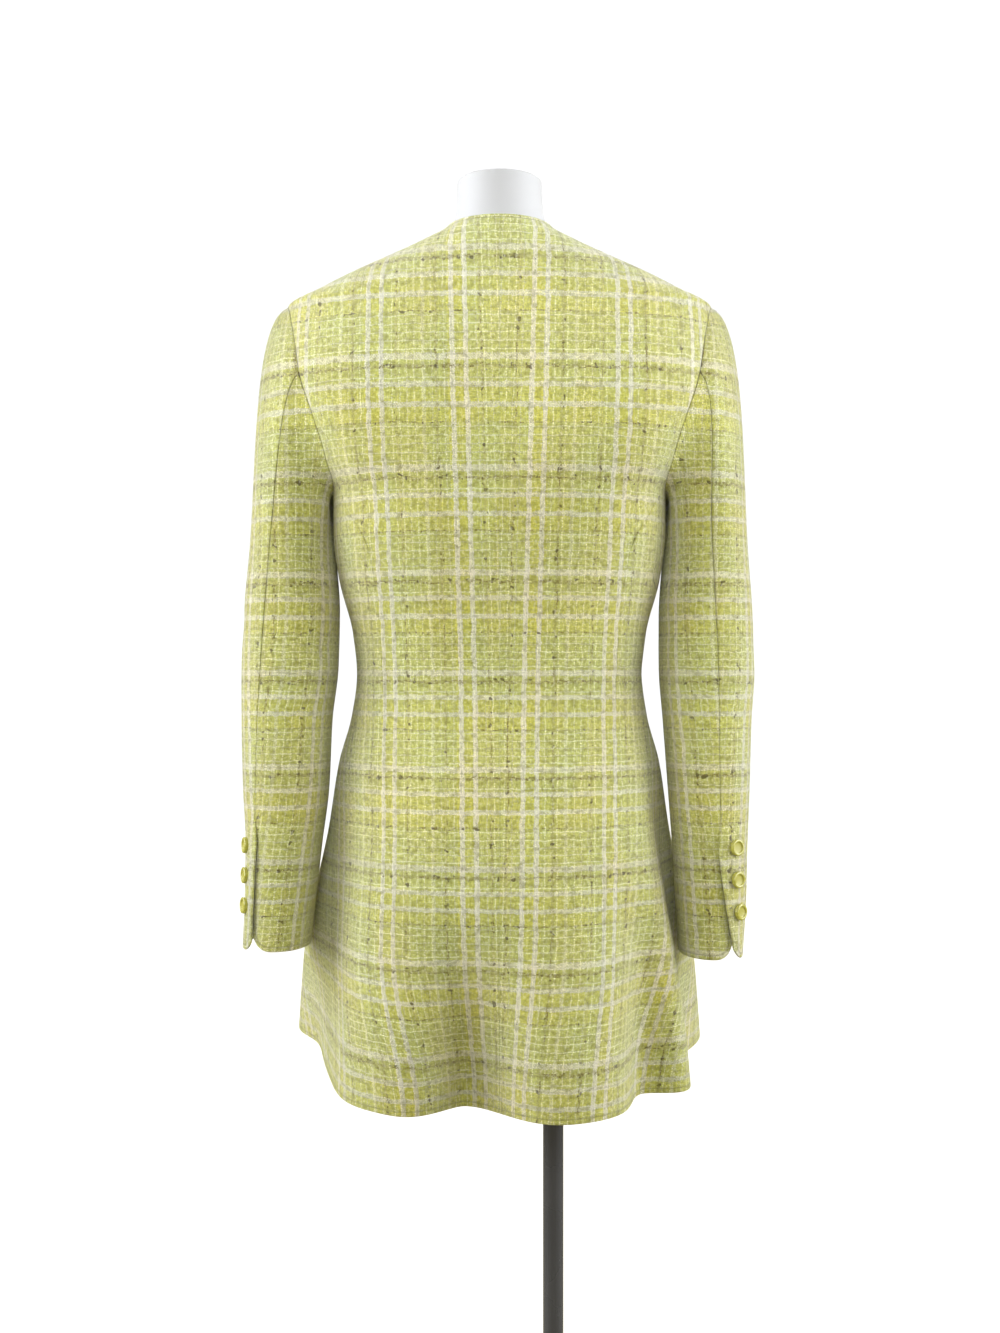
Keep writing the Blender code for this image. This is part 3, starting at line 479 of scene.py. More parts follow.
def sleeve_point(table, turn, place):
    """Points of a sleeve; place is 0 at the armhole, 1 at the bicep and 2 at the cuff."""
    turn, place = np.broadcast_arrays(np.asarray(turn, float), np.asarray(place, float))
    cuff = table[0].height
    tube = sleeve_ring_point(table, turn, BICEP + (cuff - BICEP) * (place - 1.0))
    edge = body_point(*armhole(wrapped(turn)))
    leave = leaving(turn)
    start = edge + leave / np.linalg.norm(leave, axis=-1, keepdims=True) * CAP_GAP
    end = sleeve_ring_point(table, turn, np.full(turn.shape, BICEP))
    lower = sleeve_ring_point(table, turn, np.full(turn.shape, BICEP - NUDGE))
    arrive = (lower - end) * ((start[..., 2:] - BICEP) / NUDGE)
    t = np.clip(place, 0.0, 1.0)[..., None]
    rise = smoothstep(t)
    cap = start * (1.0 - rise) + end * rise
    cap = cap + leave * t * (1.0 - t) ** 2 + arrive * t * t * (t - 1.0)
    return np.where(place[..., None] > 1.0, tube, cap)


def elbow_turn(table, place):
    """The seam at the back of the sleeve, from the sleeve's outer side."""
    height = BICEP + (table[0].height - BICEP) * (place - 1.0)
    below = np.radians(column(table, "elbow_turn", height))
    swing = ELBOW_SEAM_SWING * np.sin(HALF_TURN * np.clip(place, 0.0, 1.0))
    change = table[-1].elbow_turn - ELBOW_SEAM_START
    above = np.radians(ELBOW_SEAM_START + change * smoothstep(place) + swing)
    return np.where(place > 1.0, below, above)


print("left cuff, outer side:", sleeve_point(LEFT_SLEEVE, 0.0, 2.0).round(3))

# %% [markdown]
# ## Cloth as a wall with a rolled edge
#
# A sheet of tweed could be a single skin with a Solidify modifier, but then all its edges
# would be square.  Here each panel is a grid of points with a matching inner grid, and both
# faces curl towards each other in the last millimetre, so a hem or a cuff looks turned and
# two panels side by side leave the small groove of a pressed seam.  Rows and columns lie
# close together next to the edges and about four millimetres apart elsewhere.

# %% Spacing of rows and columns
PITCH = 0.0042              # between two rows or columns, away from the edges
EDGE_STEPS = (0.0, 0.00025, 0.0006, 0.0011, 0.0020, 0.0032)
ROLL = 0.5 * CLOTH          # an open edge is fully round
SEAM_ROLL = 0.08 * CLOTH    # a pressed seam is only a shallow groove
ELBOW_ROLL = 0.45 * CLOTH   # and the seam at the back of a sleeve a deeper one
DEEP_SEAM = 0.0016          # that seam counts as this much nearer than it is, for its shade
FAR_FROM_EDGE = 0.03
FINE_SAMPLES = 90           # points on a row whose length is measured
ROUGH_SAMPLES = 30
ROUGH_ROWS = 8              # the widest row is looked for among every eighth


def spaced(length, count=None):
    """Distances along a length: close together at both ends, even between them."""
    near = np.array(EDGE_STEPS)
    count = count or max(4, int(length / PITCH))
    middle = np.linspace(near[-1], length - near[-1], count)
    return np.concatenate([near[:-1], middle, length - near[:-1][::-1]])


def running_length(points, axis):
    steps = np.linalg.norm(np.diff(points, axis=axis), axis=-1)
    start = np.zeros_like(np.take(steps, [0], axis=axis))
    return np.cumsum(np.concatenate([start, steps], axis=axis), axis=axis)


def along_row(first, last, level, samples):
    """Turns along a row of the body, and how far along the cloth each lies."""
    turns = np.linspace(first, last, samples)
    return turns, running_length(body_point(turns, level)[:, None], 0)[:, 0]


def level_grid(firsts, lasts, levels):
    """A grid of turns and levels, with one row for each first and last turn."""
    ends = list(zip(firsts, lasts, levels))
    widest = max(along_row(*end, ROUGH_SAMPLES)[1][-1] for end in ends[::ROUGH_ROWS])
    rows = []
    for end in ends:
        turns, length = along_row(*end, FINE_SAMPLES)
        rows.append(np.interp(spaced(length[-1], int(widest / PITCH)), length, turns))
    return np.array(rows), np.repeat(levels[:, None], len(rows[0]), axis=1)


print("columns across a 0.16 m panel:", len(spaced(0.16)))

# %% The panels of the body, as turns and levels
ARMHOLE_PITCH = 2.0         # degrees round the armhole between two rows
SHOULDER_ROWS = 44
SIDE_TOP = 0.055            # length of a side panel above the chest row
ONE_END = len(EDGE_STEPS)


def side_edge(seam, corner):
    """A panel's side edge from hem to neck: its seam, the armhole and the shoulder line."""
    top = float(armhole(math.radians(corner))[1])
    levels = HEM + spaced(top - HEM)[:-ONE_END]
    round_places = np.radians(np.linspace(corner, 0.0, int(abs(corner) / ARMHOLE_PITCH)))
    hole_turns, hole_levels = armhole(round_places)
    slope = spaced(NECK - SHOULDER_TIP, SHOULDER_ROWS)[1:]
    up = np.concatenate([levels, hole_levels, SHOULDER_TIP + slope])
    turns = np.concatenate([seam(levels), hole_turns, 0.0 * slope])
    return turns, up


def back_grid():
    edges, levels = side_edge(side_back_turn, ARMHOLE_BACK_CORNER)
    return level_grid(edges, np.full(len(levels), RIGHT_ANGLE), levels)


def front_grid(past_centre):
    edges, levels = side_edge(side_seam_turn, ARMHOLE_FRONT_CORNER)
    return level_grid(front_turn(-past_centre, levels), edges, levels)


def side_back_grid():
    """Level rows up to the chest; above it they bend until the last follows the armhole."""
    low = HEM + spaced(CHEST_ROW - HEM)[:-ONE_END]
    turns, levels = level_grid(side_seam_turn(low), side_back_turn(low), low)
    base = turns[-1]
    along = spaced(1.0, len(base) - 2 * ONE_END + 2)
    sweep = ARMHOLE_BACK_CORNER - 360.0 - ARMHOLE_FRONT_CORNER
    top_turns, top_levels = armhole(wrapped(np.radians(ARMHOLE_FRONT_CORNER + along * sweep)))
    turns, levels = [*turns], [*levels]
    for share in (spaced(SIDE_TOP)[ONE_END - 1:] / SIDE_TOP)[1:]:
        levels.append(CHEST_ROW + (top_levels - CHEST_ROW) * share)
        first, last = side_seam_turn(levels[-1][0]), side_back_turn(levels[-1][-1])
        spread = first + (base - base[0]) * (last - first) / (base[-1] - base[0])
        turns.append(spread + (top_turns - spread) * share)
        turns[-1][0], turns[-1][-1] = first, last
    return np.array(turns), np.array(levels)


BACK_GRID = back_grid()
SIDE_GRID = side_back_grid()
print("points on a back:", BACK_GRID[0].size, " on a side:", SIDE_GRID[0].size)

# %% Distances from the edges of a grid, and its area
CHUNK = 60                  # points of a line that are compared at once


def nearest(points, line):
    """How far each point of a grid lies from a line of points."""
    flat = points.reshape(-1, 3)
    best = np.full(len(flat), FAR_FROM_EDGE)
    for chunk in np.array_split(line, max(1, len(line) // CHUNK)):
        close = np.linalg.norm(flat[:, None] - chunk[None], axis=-1).min(axis=1)
        best = np.minimum(best, close)
    return best.reshape(points.shape[:2])


def surface_area(points):
    a = points[1:, 1:] - points[:-1, :-1]
    b = points[1:, :-1] - points[:-1, 1:]
    return 0.5 * np.linalg.norm(np.cross(a, b), axis=-1).sum()


print("round the armhole:", round(float(running_length(body_point(*armhole(
    np.linspace(-HALF_TURN, HALF_TURN, 200)))[:, None], 0)[-1, 0]), 3), "m")

# %% [markdown]
# ## Building one panel
#
# A panel keeps two sets of coordinates beside its points. The other says how far a point is
# from the nearest seam and from the nearest finished edge, for the stitched line and the
# painted shade in the seams' grooves. Both are stored as UV maps, which a material reads and an
# export keeps.

# %% One wall of cloth
made = {}


def quads_and_rim(rows, columns):
    """The faces of a grid of points, and the points round its edge in order."""
    index = np.arange(rows * columns).reshape(rows, columns)
    corners = [index[:-1, :-1], index[:-1, 1:], index[1:, 1:], index[1:, :-1]]
    rim = [index[0], index[1:-1, -1], index[-1, ::-1], index[-2:0:-1, 0]]
    return np.stack(corners, axis=-1).reshape(-1, 4), np.concatenate(rim)


def new_object(name, points, faces):
    """A smooth mesh in the scene."""
    mesh = bpy.data.meshes.new(name)
    mesh.from_pydata(points.tolist(), [], faces)
    mesh.shade_smooth()
    piece = bpy.data.objects.new(name, mesh)
    scene.collection.objects.link(piece)
    return piece


def stand_in(piece, node):
    """Put a piece in the place of a solid of the frame."""
    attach(piece, ROOT)
    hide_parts(node)


def corner_vertices(mesh):
    vertices = np.zeros(len(mesh.loops), int)
    mesh.loops.foreach_get("vertex_index", vertices)
    return vertices


def store_uv(mesh, name, values):
    """Write one pair of numbers for each vertex into a UV map."""
    layer = mesh.uv_layers.new(name=name)
    layer.data.foreach_set("uv", values[corner_vertices(mesh)].astype(np.float32).ravel())


def roll_depth(distance, radius):
    """How far the outer face has sunk at a distance from a rounded edge."""
    return radius - np.sqrt(np.maximum(0.0, radius ** 2 - np.maximum(0.0, radius - distance) ** 2))


def cloth_wall(name, points, normals, weave, finished, deep=(), reach=DEEP_SEAM):
    """A closed wall of cloth under a grid of points.

    finished holds the points of its open edges, deep those of the seams with a deep groove and a
    painted shade, which reach widens.
    """
    rows, columns = points.shape[:2]
    faces, rim = quads_and_rim(rows, columns)
    edge = nearest(points, points.reshape(-1, 3)[rim])
    open_edge = nearest(points, finished)
    curl = np.maximum(roll_depth(edge, SEAM_ROLL), roll_depth(open_edge, ROLL))
    if len(deep):
        groove = nearest(points, deep)
        curl = np.maximum(curl, roll_depth(groove, ELBOW_ROLL))
        # a deep seam counts as nearer than it is, so the tweed paints a wider, darker shade along
        # it
        edge = np.minimum(edge, groove - reach)
    outer = points - normals * curl[..., None]
    inner = points - normals * (CLOTH - curl)[..., None]
    count = rows * columns
    following = np.roll(rim, -1)
    side = np.stack([rim, rim + count, following + count, following], axis=1)
    faces = np.concatenate([faces, faces[:, ::-1] + count, side])
    middle = (rows // 2, columns // 2)
    turning = np.cross(np.gradient(points, axis=1)[middle], np.gradient(points, axis=0)[middle])
    if turning @ normals[middle] < 0.0:
        faces = faces[:, ::-1]
    vertices = np.concatenate([outer.reshape(-1, 3), inner.reshape(-1, 3)])
    piece = new_object(name, vertices, faces.tolist())
    distances = np.stack([edge, open_edge], axis=-1)
    for title, values in (("weave", weave), ("edges", distances)):
        store_uv(piece.data, title, np.concatenate([values.reshape(-1, 2)] * 2))
    made[name] = {"piece": piece, "area": surface_area(points), "flat": np.ptp(weave, axis=(0, 1))}
    return piece


print("wall faces for a 10 by 10 grid:", sum(map(len, quads_and_rim(10, 10))) + 81)

# %% [markdown]
# ## Where the checks lie on the cloth
#
# On a well cut jacket the checks run straight down the back, meet in a mirror at centre back
# and carry on across the side-back seams.  So the distance across the weave is counted
# round the body from centre back, plus what the centre back seam has taken in to shape the
# waist.  The place up the weave is read from a short chart, which gives the height at which
# each repeat's dark weft line lies at centre back.

# %% The weave's two coordinates on the body
WARP_REPEAT = 0.074         # width of the check's repeat
WEFT_REPEAT = 0.086         # and its height
CHECK_ROWS = rows_of(Level, (
    (0.560, -1.0), (0.640, 0.0), (0.721, 1.0), (0.800, 2.0),
    (0.883, 3.0), (0.966, 4.0), (1.053, 5.0), (1.1415, 6.0),
    (1.238, 7.0), (1.3415, 8.0), (1.447, 9.0),
))
CENTRE_BACK_SEAM = rows_of(Level, (
    (0.600, 0.016), (0.972, 0.011), (1.120, 0.0075), (1.385, 0.0),
))
ARC_TURNS = np.radians(np.linspace(-100.0, 280.0, 761))     # half a degree apart
ARC_LEVELS = np.linspace(HEM, NECK, 190)
ARC_TABLE = running_length(body_point(ARC_TURNS, ARC_LEVELS[:, None]), 1)


def round_the_body(turn, level):
    """Length along a level row from the start of the table to a turn."""
    row = (level - HEM) / (NECK - HEM) * (len(ARC_LEVELS) - 1)
    place = (turn - ARC_TURNS[0]) / (ARC_TURNS[-1] - ARC_TURNS[0]) * (len(ARC_TURNS) - 1)
    i = np.clip(row.astype(int), 0, len(ARC_LEVELS) - 2)
    j = np.clip(place.astype(int), 0, len(ARC_TURNS) - 2)
    s, t = row - i, place - j
    low = ARC_TABLE[i, j] * (1 - t) + ARC_TABLE[i, j + 1] * t
    high = ARC_TABLE[i + 1, j] * (1 - t) + ARC_TABLE[i + 1, j + 1] * t
    return low * (1 - s) + high * s


def weave_from(turn, level, start_turn, shift):
    """The weave's coordinates, counted across from a turn; shift is in whole repeats."""
    across = np.abs(round_the_body(turn, level) - round_the_body(0 * turn + start_turn, level))
    if start_turn == RIGHT_ANGLE:
        across = across + column(CENTRE_BACK_SEAM, "value", level)
    up = WEFT_REPEAT * column(CHECK_ROWS, "value", level - neck_dip(turn, level))
    return np.stack([across + shift * WARP_REPEAT, up], axis=-1)


print("half the hem's length:", round(float(ARC_TABLE[0, -1] - ARC_TABLE[0, 0]) / 2, 3), "m")

# %% [markdown]
# ## The six panels of the body
#
# Two backs with a seam between them, two side panels that reach round to the side seams,
# and two fronts, the right one lapped over the left as on a woman's jacket.  The panels of
# the right side are the left ones in a mirror.  Each starts its weave a whole number of
# repeats further on, so that no two lie on the same place of the cloth's own map.

# %% Laying a panel on the body


CENTRE_FRONT = -RIGHT_ANGLE
NEXT_FRONT = 3.0 * RIGHT_ANGLE      # the same line, counted on round the back
FORM_NODE = "form_torso"
FORM_MIDDLE = np.array([FORM_X, 0.0, 0.0])


def lap_lift(turn, level):
    distance = half_width(level) * np.cos(turn)
    return LAP_LIFT * smoothstep((LAP_STEP[0] + distance) / (LAP_STEP[0] - LAP_STEP[1]))


def finish_cloth(piece, node):
    """Attach a panel to the root and hide the solid that it stands in for."""
    stand_in(piece, node)


def lay_panel(name, node, grid, on_right, start_turn, shift, open_lines, lift=None):
    """Build one panel of the body; open_lines pick the finished edges out of its grid."""
    turns, levels = grid
    places = HALF_TURN - turns if on_right else turns
    normals = surface_normal(body_point, places, levels)
    points = body_point(places, levels) + FORM_MIDDLE
    if lift:
        points = points + normals * lift(places, levels)[..., None]
    weave = weave_from(places, levels, start_turn, shift)
    finished = np.concatenate([points[line] for line in open_lines])
    finish_cloth(cloth_wall(name, points, normals, weave, finished), node)


# %% Backs, sides and fronts
HEM_LINE, NECK_LINE, FRONT_LINE = 0, -1, (slice(None), 0)
for label, on_right, shift in (("left", False, 5), ("right", True, 20)):
    for part, node, grid, lines in (
            ("back_", "back_", BACK_GRID, (HEM_LINE, NECK_LINE)),
            ("side_", "side_back_", SIDE_GRID, (HEM_LINE,))):
        lay_panel("tweed_" + part + label, node + label, grid, on_right, RIGHT_ANGLE, shift, lines)
open_front = (HEM_LINE, NECK_LINE, FRONT_LINE)
lay_panel("tweed_front_left", "front_left", front_grid(LAP_UNDER),
          False, CENTRE_FRONT, 30, open_front)
lay_panel("tweed_front_right", "front_right", front_grid(LAP_OVER),
          True, NEXT_FRONT, 40, open_front, lap_lift)

# %% [markdown]
# ## The two-piece sleeves
#
# A tailored sleeve has an upper and an under piece.  The seam at its back ends in a vent
# with three buttons.  There the upper piece laps over the under piece and stands a little
# off it, and the lower corners of both are rounded.  Both pieces start at the armhole and
# follow the sleeve's rings down to the cuff.

# %% A sleeve piece as a grid
GIRTH_STEPS = 360
SEAM_FADE = 0.6             # the painted shade along the seam at the back gets weaker by this share
FADE_FROM, FADE_OVER = 1.1, 0.4     # from this place down the sleeve on, over this much


def sleeve_turns(table, place, first_corner, last_corner, share):
    """Turns of one row: the armhole's own places, evened out towards the bicep."""
    first = elbow_turn(table, place)
    last = math.radians(last_corner)
    even = first + (last - first) * share ** COLUMN_POWER
    start = math.radians(first_corner)
    swung = start + (last - start) * share + (first - start) * (1.0 - share) ** 2
    blend = smoothstep(place)
    return swung * (1.0 - blend) + even * blend


def corner_lift(distance, radius):
    """How far a rounded corner lifts the cuff, at a distance from the vent."""
    inside = np.clip(radius - distance, 0.0, radius)
    return radius - np.sqrt(radius * radius - inside ** 2)


def turn_round_bicep(table, points, middle):
    """The turn on the bicep's ring that lies straight below a point of the cap."""
    inner, outer = table[-1].inner, table[-1].outer
    x = (points[..., 0] - 0.5 * (inner + outer)) / (0.5 * (outer - inner))
    y = (points[..., 1] - table[-1].mid_y) / table[-1].half_depth
    return middle + wrapped(np.arctan2(y, x) - middle)


def sleeve_places(table):
    cap = spaced(CAP_LENGTH)[:-ONE_END] / CAP_LENGTH
    tube_length = BICEP - table[0].height
    tube = 1.0 + spaced(tube_length)[ONE_END:] / tube_length
    return np.concatenate([cap, [1.0], tube])


def sleeve_grid(table, corners):
    """Places and shares of a sleeve piece, so spaced that its cells are nearly square."""
    places = sleeve_places(table)
    coarse = np.linspace(0.0, 1.0, FINE_SAMPLES)
    runs = [running_length(sleeve_point(
        table, sleeve_turns(table, place, *corners, coarse), place)[:, None], 0)[:, 0]
        for place in (1.0, *places)]
    count = int(runs[0][-1] / PITCH)
    shares = np.array([np.interp(spaced(run[-1], count), run, coarse) for run in runs[1:]])
    return np.repeat(places[:, None], shares.shape[1], axis=1), shares


def vent_rise(low):
    """How far the upper piece stands off at the vent; low is 0 at its top and 1 at the cuff."""
    return VENT_RISE * (VENT_RISE_SHARES[0] + VENT_RISE_SHARES[1] * low)


def on_side(points, side):
    """Mirror points of a sleeve to its side of the body."""
    return points * np.array([side, 1.0, 1.0])


def sleeve_normal(table, turn, place):
    return surface_normal(lambda u, v: sleeve_point(table, u, -v), turn, -place)


def sleeve_weave(table, points, turns, places, reference, shift):
    """The weave's coordinates on a sleeve piece, counted across from a reference turn.

    Below the bicep they count along the rows.  In the cap they go straight up from the
    bicep, because the grain of a sleeve doesn't turn with its rounded top.
    """
    run = running_length(points, 1)
    start = [np.interp(reference, np.sort(t), r[np.argsort(t)]) for t, r in zip(turns, run)]
    round_bicep = reference + np.linspace(-HALF_TURN, HALF_TURN, GIRTH_STEPS + 1)
    bicep = sleeve_ring_point(table, round_bicep, np.full(GIRTH_STEPS + 1, BICEP))
    girth = running_length(bicep[:, None], 0)[:, 0]
    place_on_bicep = np.interp(turn_round_bicep(table, points, reference), round_bicep, girth)
    direction = np.sign(turns[-1, -1] - turns[-1, 0])
    grain = direction * (place_on_bicep - girth[GIRTH_STEPS // 2])
    across = np.where(places < 1.0, grain, run - np.array(start)[:, None])
    up = WEFT_REPEAT * column(CHECK_ROWS, "value", points[..., 2])
    return np.stack([across + shift * WARP_REPEAT, up], axis=-1)


def sleeve_piece(name, table, side, corners, reference, radius, shift, laps):
    """One half of a sleeve, from its elbow seam to its front seam."""
    length = BICEP - table[0].height
    places, shares = sleeve_grid(table, corners)
    flat = sleeve_point(table, sleeve_turns(table, places, *corners, shares), places)
    vent_start = 2.0 - VENT_LENGTH / length
    low = smoothstep((places - vent_start) / (2.0 - vent_start))
    distance = np.linalg.norm(flat - flat[:, :1], axis=-1)
    rows = places - low * corner_lift(distance, radius) / length
    turns = sleeve_turns(table, rows, *corners, shares)
    opening = smoothstep((rows - vent_start) / VENT_START)
    near_vent = np.exp(-((distance / VENT_SPREAD) ** 2)) * opening
    if laps:
        turns = turns + near_vent * VENT_LAP / WRIST_RADIUS
    normals = sleeve_normal(table, turns, rows)
    rise = vent_rise(low) if laps else -VENT_SINK
    points = sleeve_point(table, turns, rows) + normals * (near_vent * rise)[..., None]
    weave = sleeve_weave(table, points, turns, places, reference, shift)
    points = on_side(points, side) + FORM_MIDDLE
    # The seam at the back, and on the under piece the armhole too, get a deeper groove and painted
    # shade. The painted shade weakens down the sleeve; under the vent's flap it is painted wider on
    # the under piece, and the upper piece's edge there gets none.
    deep = points[:, 0] if laps else np.concatenate([points[:, 0], points[0]])
    reach = DEEP_SEAM * (1.0 - SEAM_FADE * smoothstep((rows - FADE_FROM) / FADE_OVER))
    reach = reach + opening * (-reach if laps else VENT_LAP)
    return cloth_wall(name, points, on_side(normals, side), weave, points[-1], deep, reach)


# %% Upper and under sleeves
UPPER = ("upper", (ELBOW_SEAM_START, FRONT_SLEEVE_SEAM), 0.0, TIP_RADIUS, 0, True)
UNDER = ("under", (ELBOW_SEAM_START, 360.0 + FRONT_SLEEVE_SEAM), HALF_TURN, CORNER_RADIUS, 5, False)
SLEEVES = (("left", LEFT_SLEEVE, 1.0), ("right", RIGHT_SLEEVE, -1.0))
for (label, table, side), first_shift in zip(SLEEVES, (50, 60)):
    for half, corners, reference, radius, shift, laps in (UPPER, UNDER):
        sleeve = sleeve_piece(f"tweed_{half}_sleeve_{label}", table, side, corners,
                              reference, radius, first_shift + shift, laps)
        finish_cloth(sleeve, f"{half}_sleeve_{label}")

# %% [markdown]
# ## The dress form inside
#
# The form is a smooth, covered torso without limbs.  It follows the jacket's own rings a few
# millimetres further in, and ends in a short neck with a flat top.  Rings of points from the
# bottom to the top make it, so it stays in step with the jacket that hangs on it.

# %% Rings of the form
FORM_COLUMNS = 128
TORSO_ROWS, SLOPE_ROWS = 70, 12
FORM_RIM = ((0.985, 0.0), (0.996, 0.0006), (1.0, 0.0022))   # share of the ring, height
SLOPE_STEP = 0.004
SHARP_ANGLE = math.radians(40.0)


def circle(count):
    return np.linspace(0.0, 2.0 * HALF_TURN, count, endpoint=False)


def form_ring(height):
    """One level ring of the form's skin, which keeps its clearance where it slopes too."""
    x, y, side_y = body_section(circle(FORM_COLUMNS), height)
    y = side_y + y
    tangent = np.stack([np.roll(x, -1) - np.roll(x, 1), np.roll(y, -1) - np.roll(y, 1)], axis=1)
    normal = np.stack([tangent[:, 1], -tangent[:, 0]], axis=1)
    normal = normal / np.linalg.norm(normal, axis=1, keepdims=True)
    wider = float(half_width(height + SLOPE_STEP) - half_width(height - SLOPE_STEP))
    slope = min(0.0, wider) / (2.0 * SLOPE_STEP)
    depth = column(FORM_CLEARANCE, "value", height) * math.hypot(1.0, slope)
    ring = np.stack([x, y], axis=1) - normal * depth
    return np.column_stack([ring[:, 0] + FORM_X, ring[:, 1], np.full(FORM_COLUMNS, height)])


def neck_ring(neck):
    turns = circle(FORM_COLUMNS)
    reach = np.where(np.sin(turns) > 0.0, neck.back_y, -neck.front_y)
    x = FORM_X + neck.half_width * np.cos(turns)
    return np.column_stack([x, reach * np.sin(turns), np.full(FORM_COLUMNS, neck.height)])


def ring_faces(rings, columns, flip=False):
    """Faces between rings of points, each ring closed on itself."""
    index = np.arange(rings * columns).reshape(rings, columns)
    a, b = index[:-1], np.roll(index, -1, axis=1)[:-1]
    a, b = (b, a) if flip else (a, b)
    return np.stack([a, b, b + columns, a + columns], axis=-1).reshape(-1, 4).tolist()


def make_form():
    torso = np.linspace(FORM_BOTTOM, SHOULDER_TIP, TORSO_ROWS)
    slope = np.linspace(SHOULDER_TIP, FORM_SHOULDER, SLOPE_ROWS)[1:]
    rings = [form_ring(level) for level in (*torso, *slope)]
    bottom = rings[0]
    centre = bottom.mean(axis=0)
    rim = [centre + (bottom - centre) * share + (0.0, 0.0, up) for share, up in FORM_RIM]
    rings = [*rim, *rings[1:], *map(neck_ring, FORM_NECK)]
    last = (len(rings) - 1) * FORM_COLUMNS
    faces = ring_faces(len(rings), FORM_COLUMNS)
    faces += [tuple(range(FORM_COLUMNS))[::-1], tuple(range(last, last + FORM_COLUMNS))]
    form = new_object("dress_form", np.concatenate(rings), faces)
    form.data.set_sharp_from_angle(angle=SHARP_ANGLE)
    stand_in(form, FORM_NODE)
    return form


dress_form = make_form()
print("faces of the form:", len(dress_form.data.polygons))

# %% [markdown]
# ## Buttons
#
# Small round buttons with a raised, rounded rim and a plain, slightly dished face.  They are
# turned: one profile swept round its own axis, with a finer profile than a solid needs.

# %% The profile of a button and a turned mesh
BUTTON_STEPS = 48
# Shares of the button's radius and height, from the middle of the face outwards.
BUTTON_FACE = ((0.10, 0.66), (0.30, 0.665), (0.50, 0.69), (0.60, 0.73), (0.645, 0.79))
BUTTON_UNDER = ((1.0, 0.48), (0.985, 0.30), (0.90, 0.05), (0.86, 0.0))
RIM_MIDDLE, RIM_HALF = (0.81, 0.78), (0.165, 0.22)
RIM_ANGLES = np.radians(range(170, -31, -20))


def button_profile(radius, height):
    """(radius, height) pairs from the middle of the face to the middle of the underside."""
    rim = [(RIM_MIDDLE[0] + RIM_HALF[0] * math.cos(angle),
            RIM_MIDDLE[1] + RIM_HALF[1] * math.sin(angle)) for angle in RIM_ANGLES]
    return [(radius * r, height * z) for r, z in (*BUTTON_FACE, *rim, *BUTTON_UNDER)]


def turned_button(name, node, profile, place, normal):
    """Sweep a profile round its axis, which points along the normal."""
    turns = circle(BUTTON_STEPS)
    level = np.ones(BUTTON_STEPS)
    rings = [np.column_stack([r * np.cos(turns), r * np.sin(turns), z * level]) for r, z in profile]
    local = np.concatenate([*rings, [(0.0, 0.0, profile[0][1])], [(0.0, 0.0, 0.0)]])
    spin = Vector((0.0, 0.0, 1.0)).rotation_difference(Vector(normal)).to_matrix()
    top = len(rings) * BUTTON_STEPS
    last = top - BUTTON_STEPS
    faces = ring_faces(len(rings), BUTTON_STEPS, flip=True)
    for i, j in zip(range(BUTTON_STEPS), (*range(1, BUTTON_STEPS), 0)):
        faces += [(i, j, top), (last + j, last + i, top + 1)]
    button = new_object(name, local @ np.array(spin).T + place, faces)
    distance = np.hypot(local[:, 0], local[:, 1]) / profile[-len(BUTTON_UNDER)][0]
    angle = np.arctan2(local[:, 1], local[:, 0]) / HALF_TURN
    store_uv(button.data, "face", np.column_stack([distance, angle]))
    stand_in(button, node)
    return button


# %% Three buttons on each cuff
def cuff_button(label, table, side, i):
    cuff = table[0].height
    height = cuff + CUFF_BUTTON_TOP[label] - i * CUFF_BUTTON_PITCH[label]
    place = 1.0 + (BICEP - height) / (BICEP - cuff)
    across = 0.5 * (column(table, "outer", height) - column(table, "inner", height))
    radius = 0.5 * (across + column(table, "half_depth", height))
    inset = CUFF_BUTTON_INSET - i * CUFF_BUTTON_INSET_STEP
    turn = elbow_turn(table, place) - inset / radius
    low = smoothstep(1.0 - (height - cuff) / VENT_LENGTH)
    raised = vent_rise(low) * math.exp(-((inset / VENT_SPREAD) ** 2))
    outward = on_side(sleeve_normal(table, turn, place), side)
    seat = on_side(sleeve_point(table, turn, place), side) + FORM_MIDDLE
    seat = seat + outward * (CUFF_BUTTON_SEAT + raised - CUFF_BUTTON_PULL[label])
    return turned_button(
        f"cuff_button_shown_{label}_{i + 1}", f"cuff_button_{label}_{i + 1}",
        button_profile(CUFF_BUTTON_RADIUS, CUFF_BUTTON_HEIGHT), seat, outward)


buttons = [cuff_button(*sleeve, i) for sleeve in SLEEVES for i in range(CUFF_BUTTONS)]
print("cuff buttons:", len(buttons))

# %% Five buttons down the front
LEVEL_SAMPLES = np.linspace(HEM, NECK, 400)
FRONT_HEIGHTS = body_height(CENTRE_FRONT, LEVEL_SAMPLES)


def front_button(i):
    height = FRONT_BUTTON_TOP - i * FRONT_BUTTON_PITCH
    level = float(np.interp(height, FRONT_HEIGHTS, LEVEL_SAMPLES))
    outward = surface_normal(body_point, CENTRE_FRONT, level)
    seat = body_point(CENTRE_FRONT, level) + FORM_MIDDLE
    return turned_button(
        f"front_button_shown_{i + 1}", f"front_button_{i + 1}",
        button_profile(FRONT_BUTTON_RADIUS, FRONT_BUTTON_HEIGHT),
        seat + outward * (LAP_LIFT + FRONT_BUTTON_SEAT), outward)


buttons += [front_button(i) for i in range(FRONT_BUTTONS)]
print("buttons in all:", len(buttons))

# %% [markdown]
# ## Writing shader nodes as short recipes
#
# A procedural finish is arithmetic on a surface's own coordinates.  Placing and linking the
# nodes one at a time hides the arithmetic, so a small helper puts them on a tree: a number
# goes on a socket, and a socket is linked to it.

# %% A bench for nodes


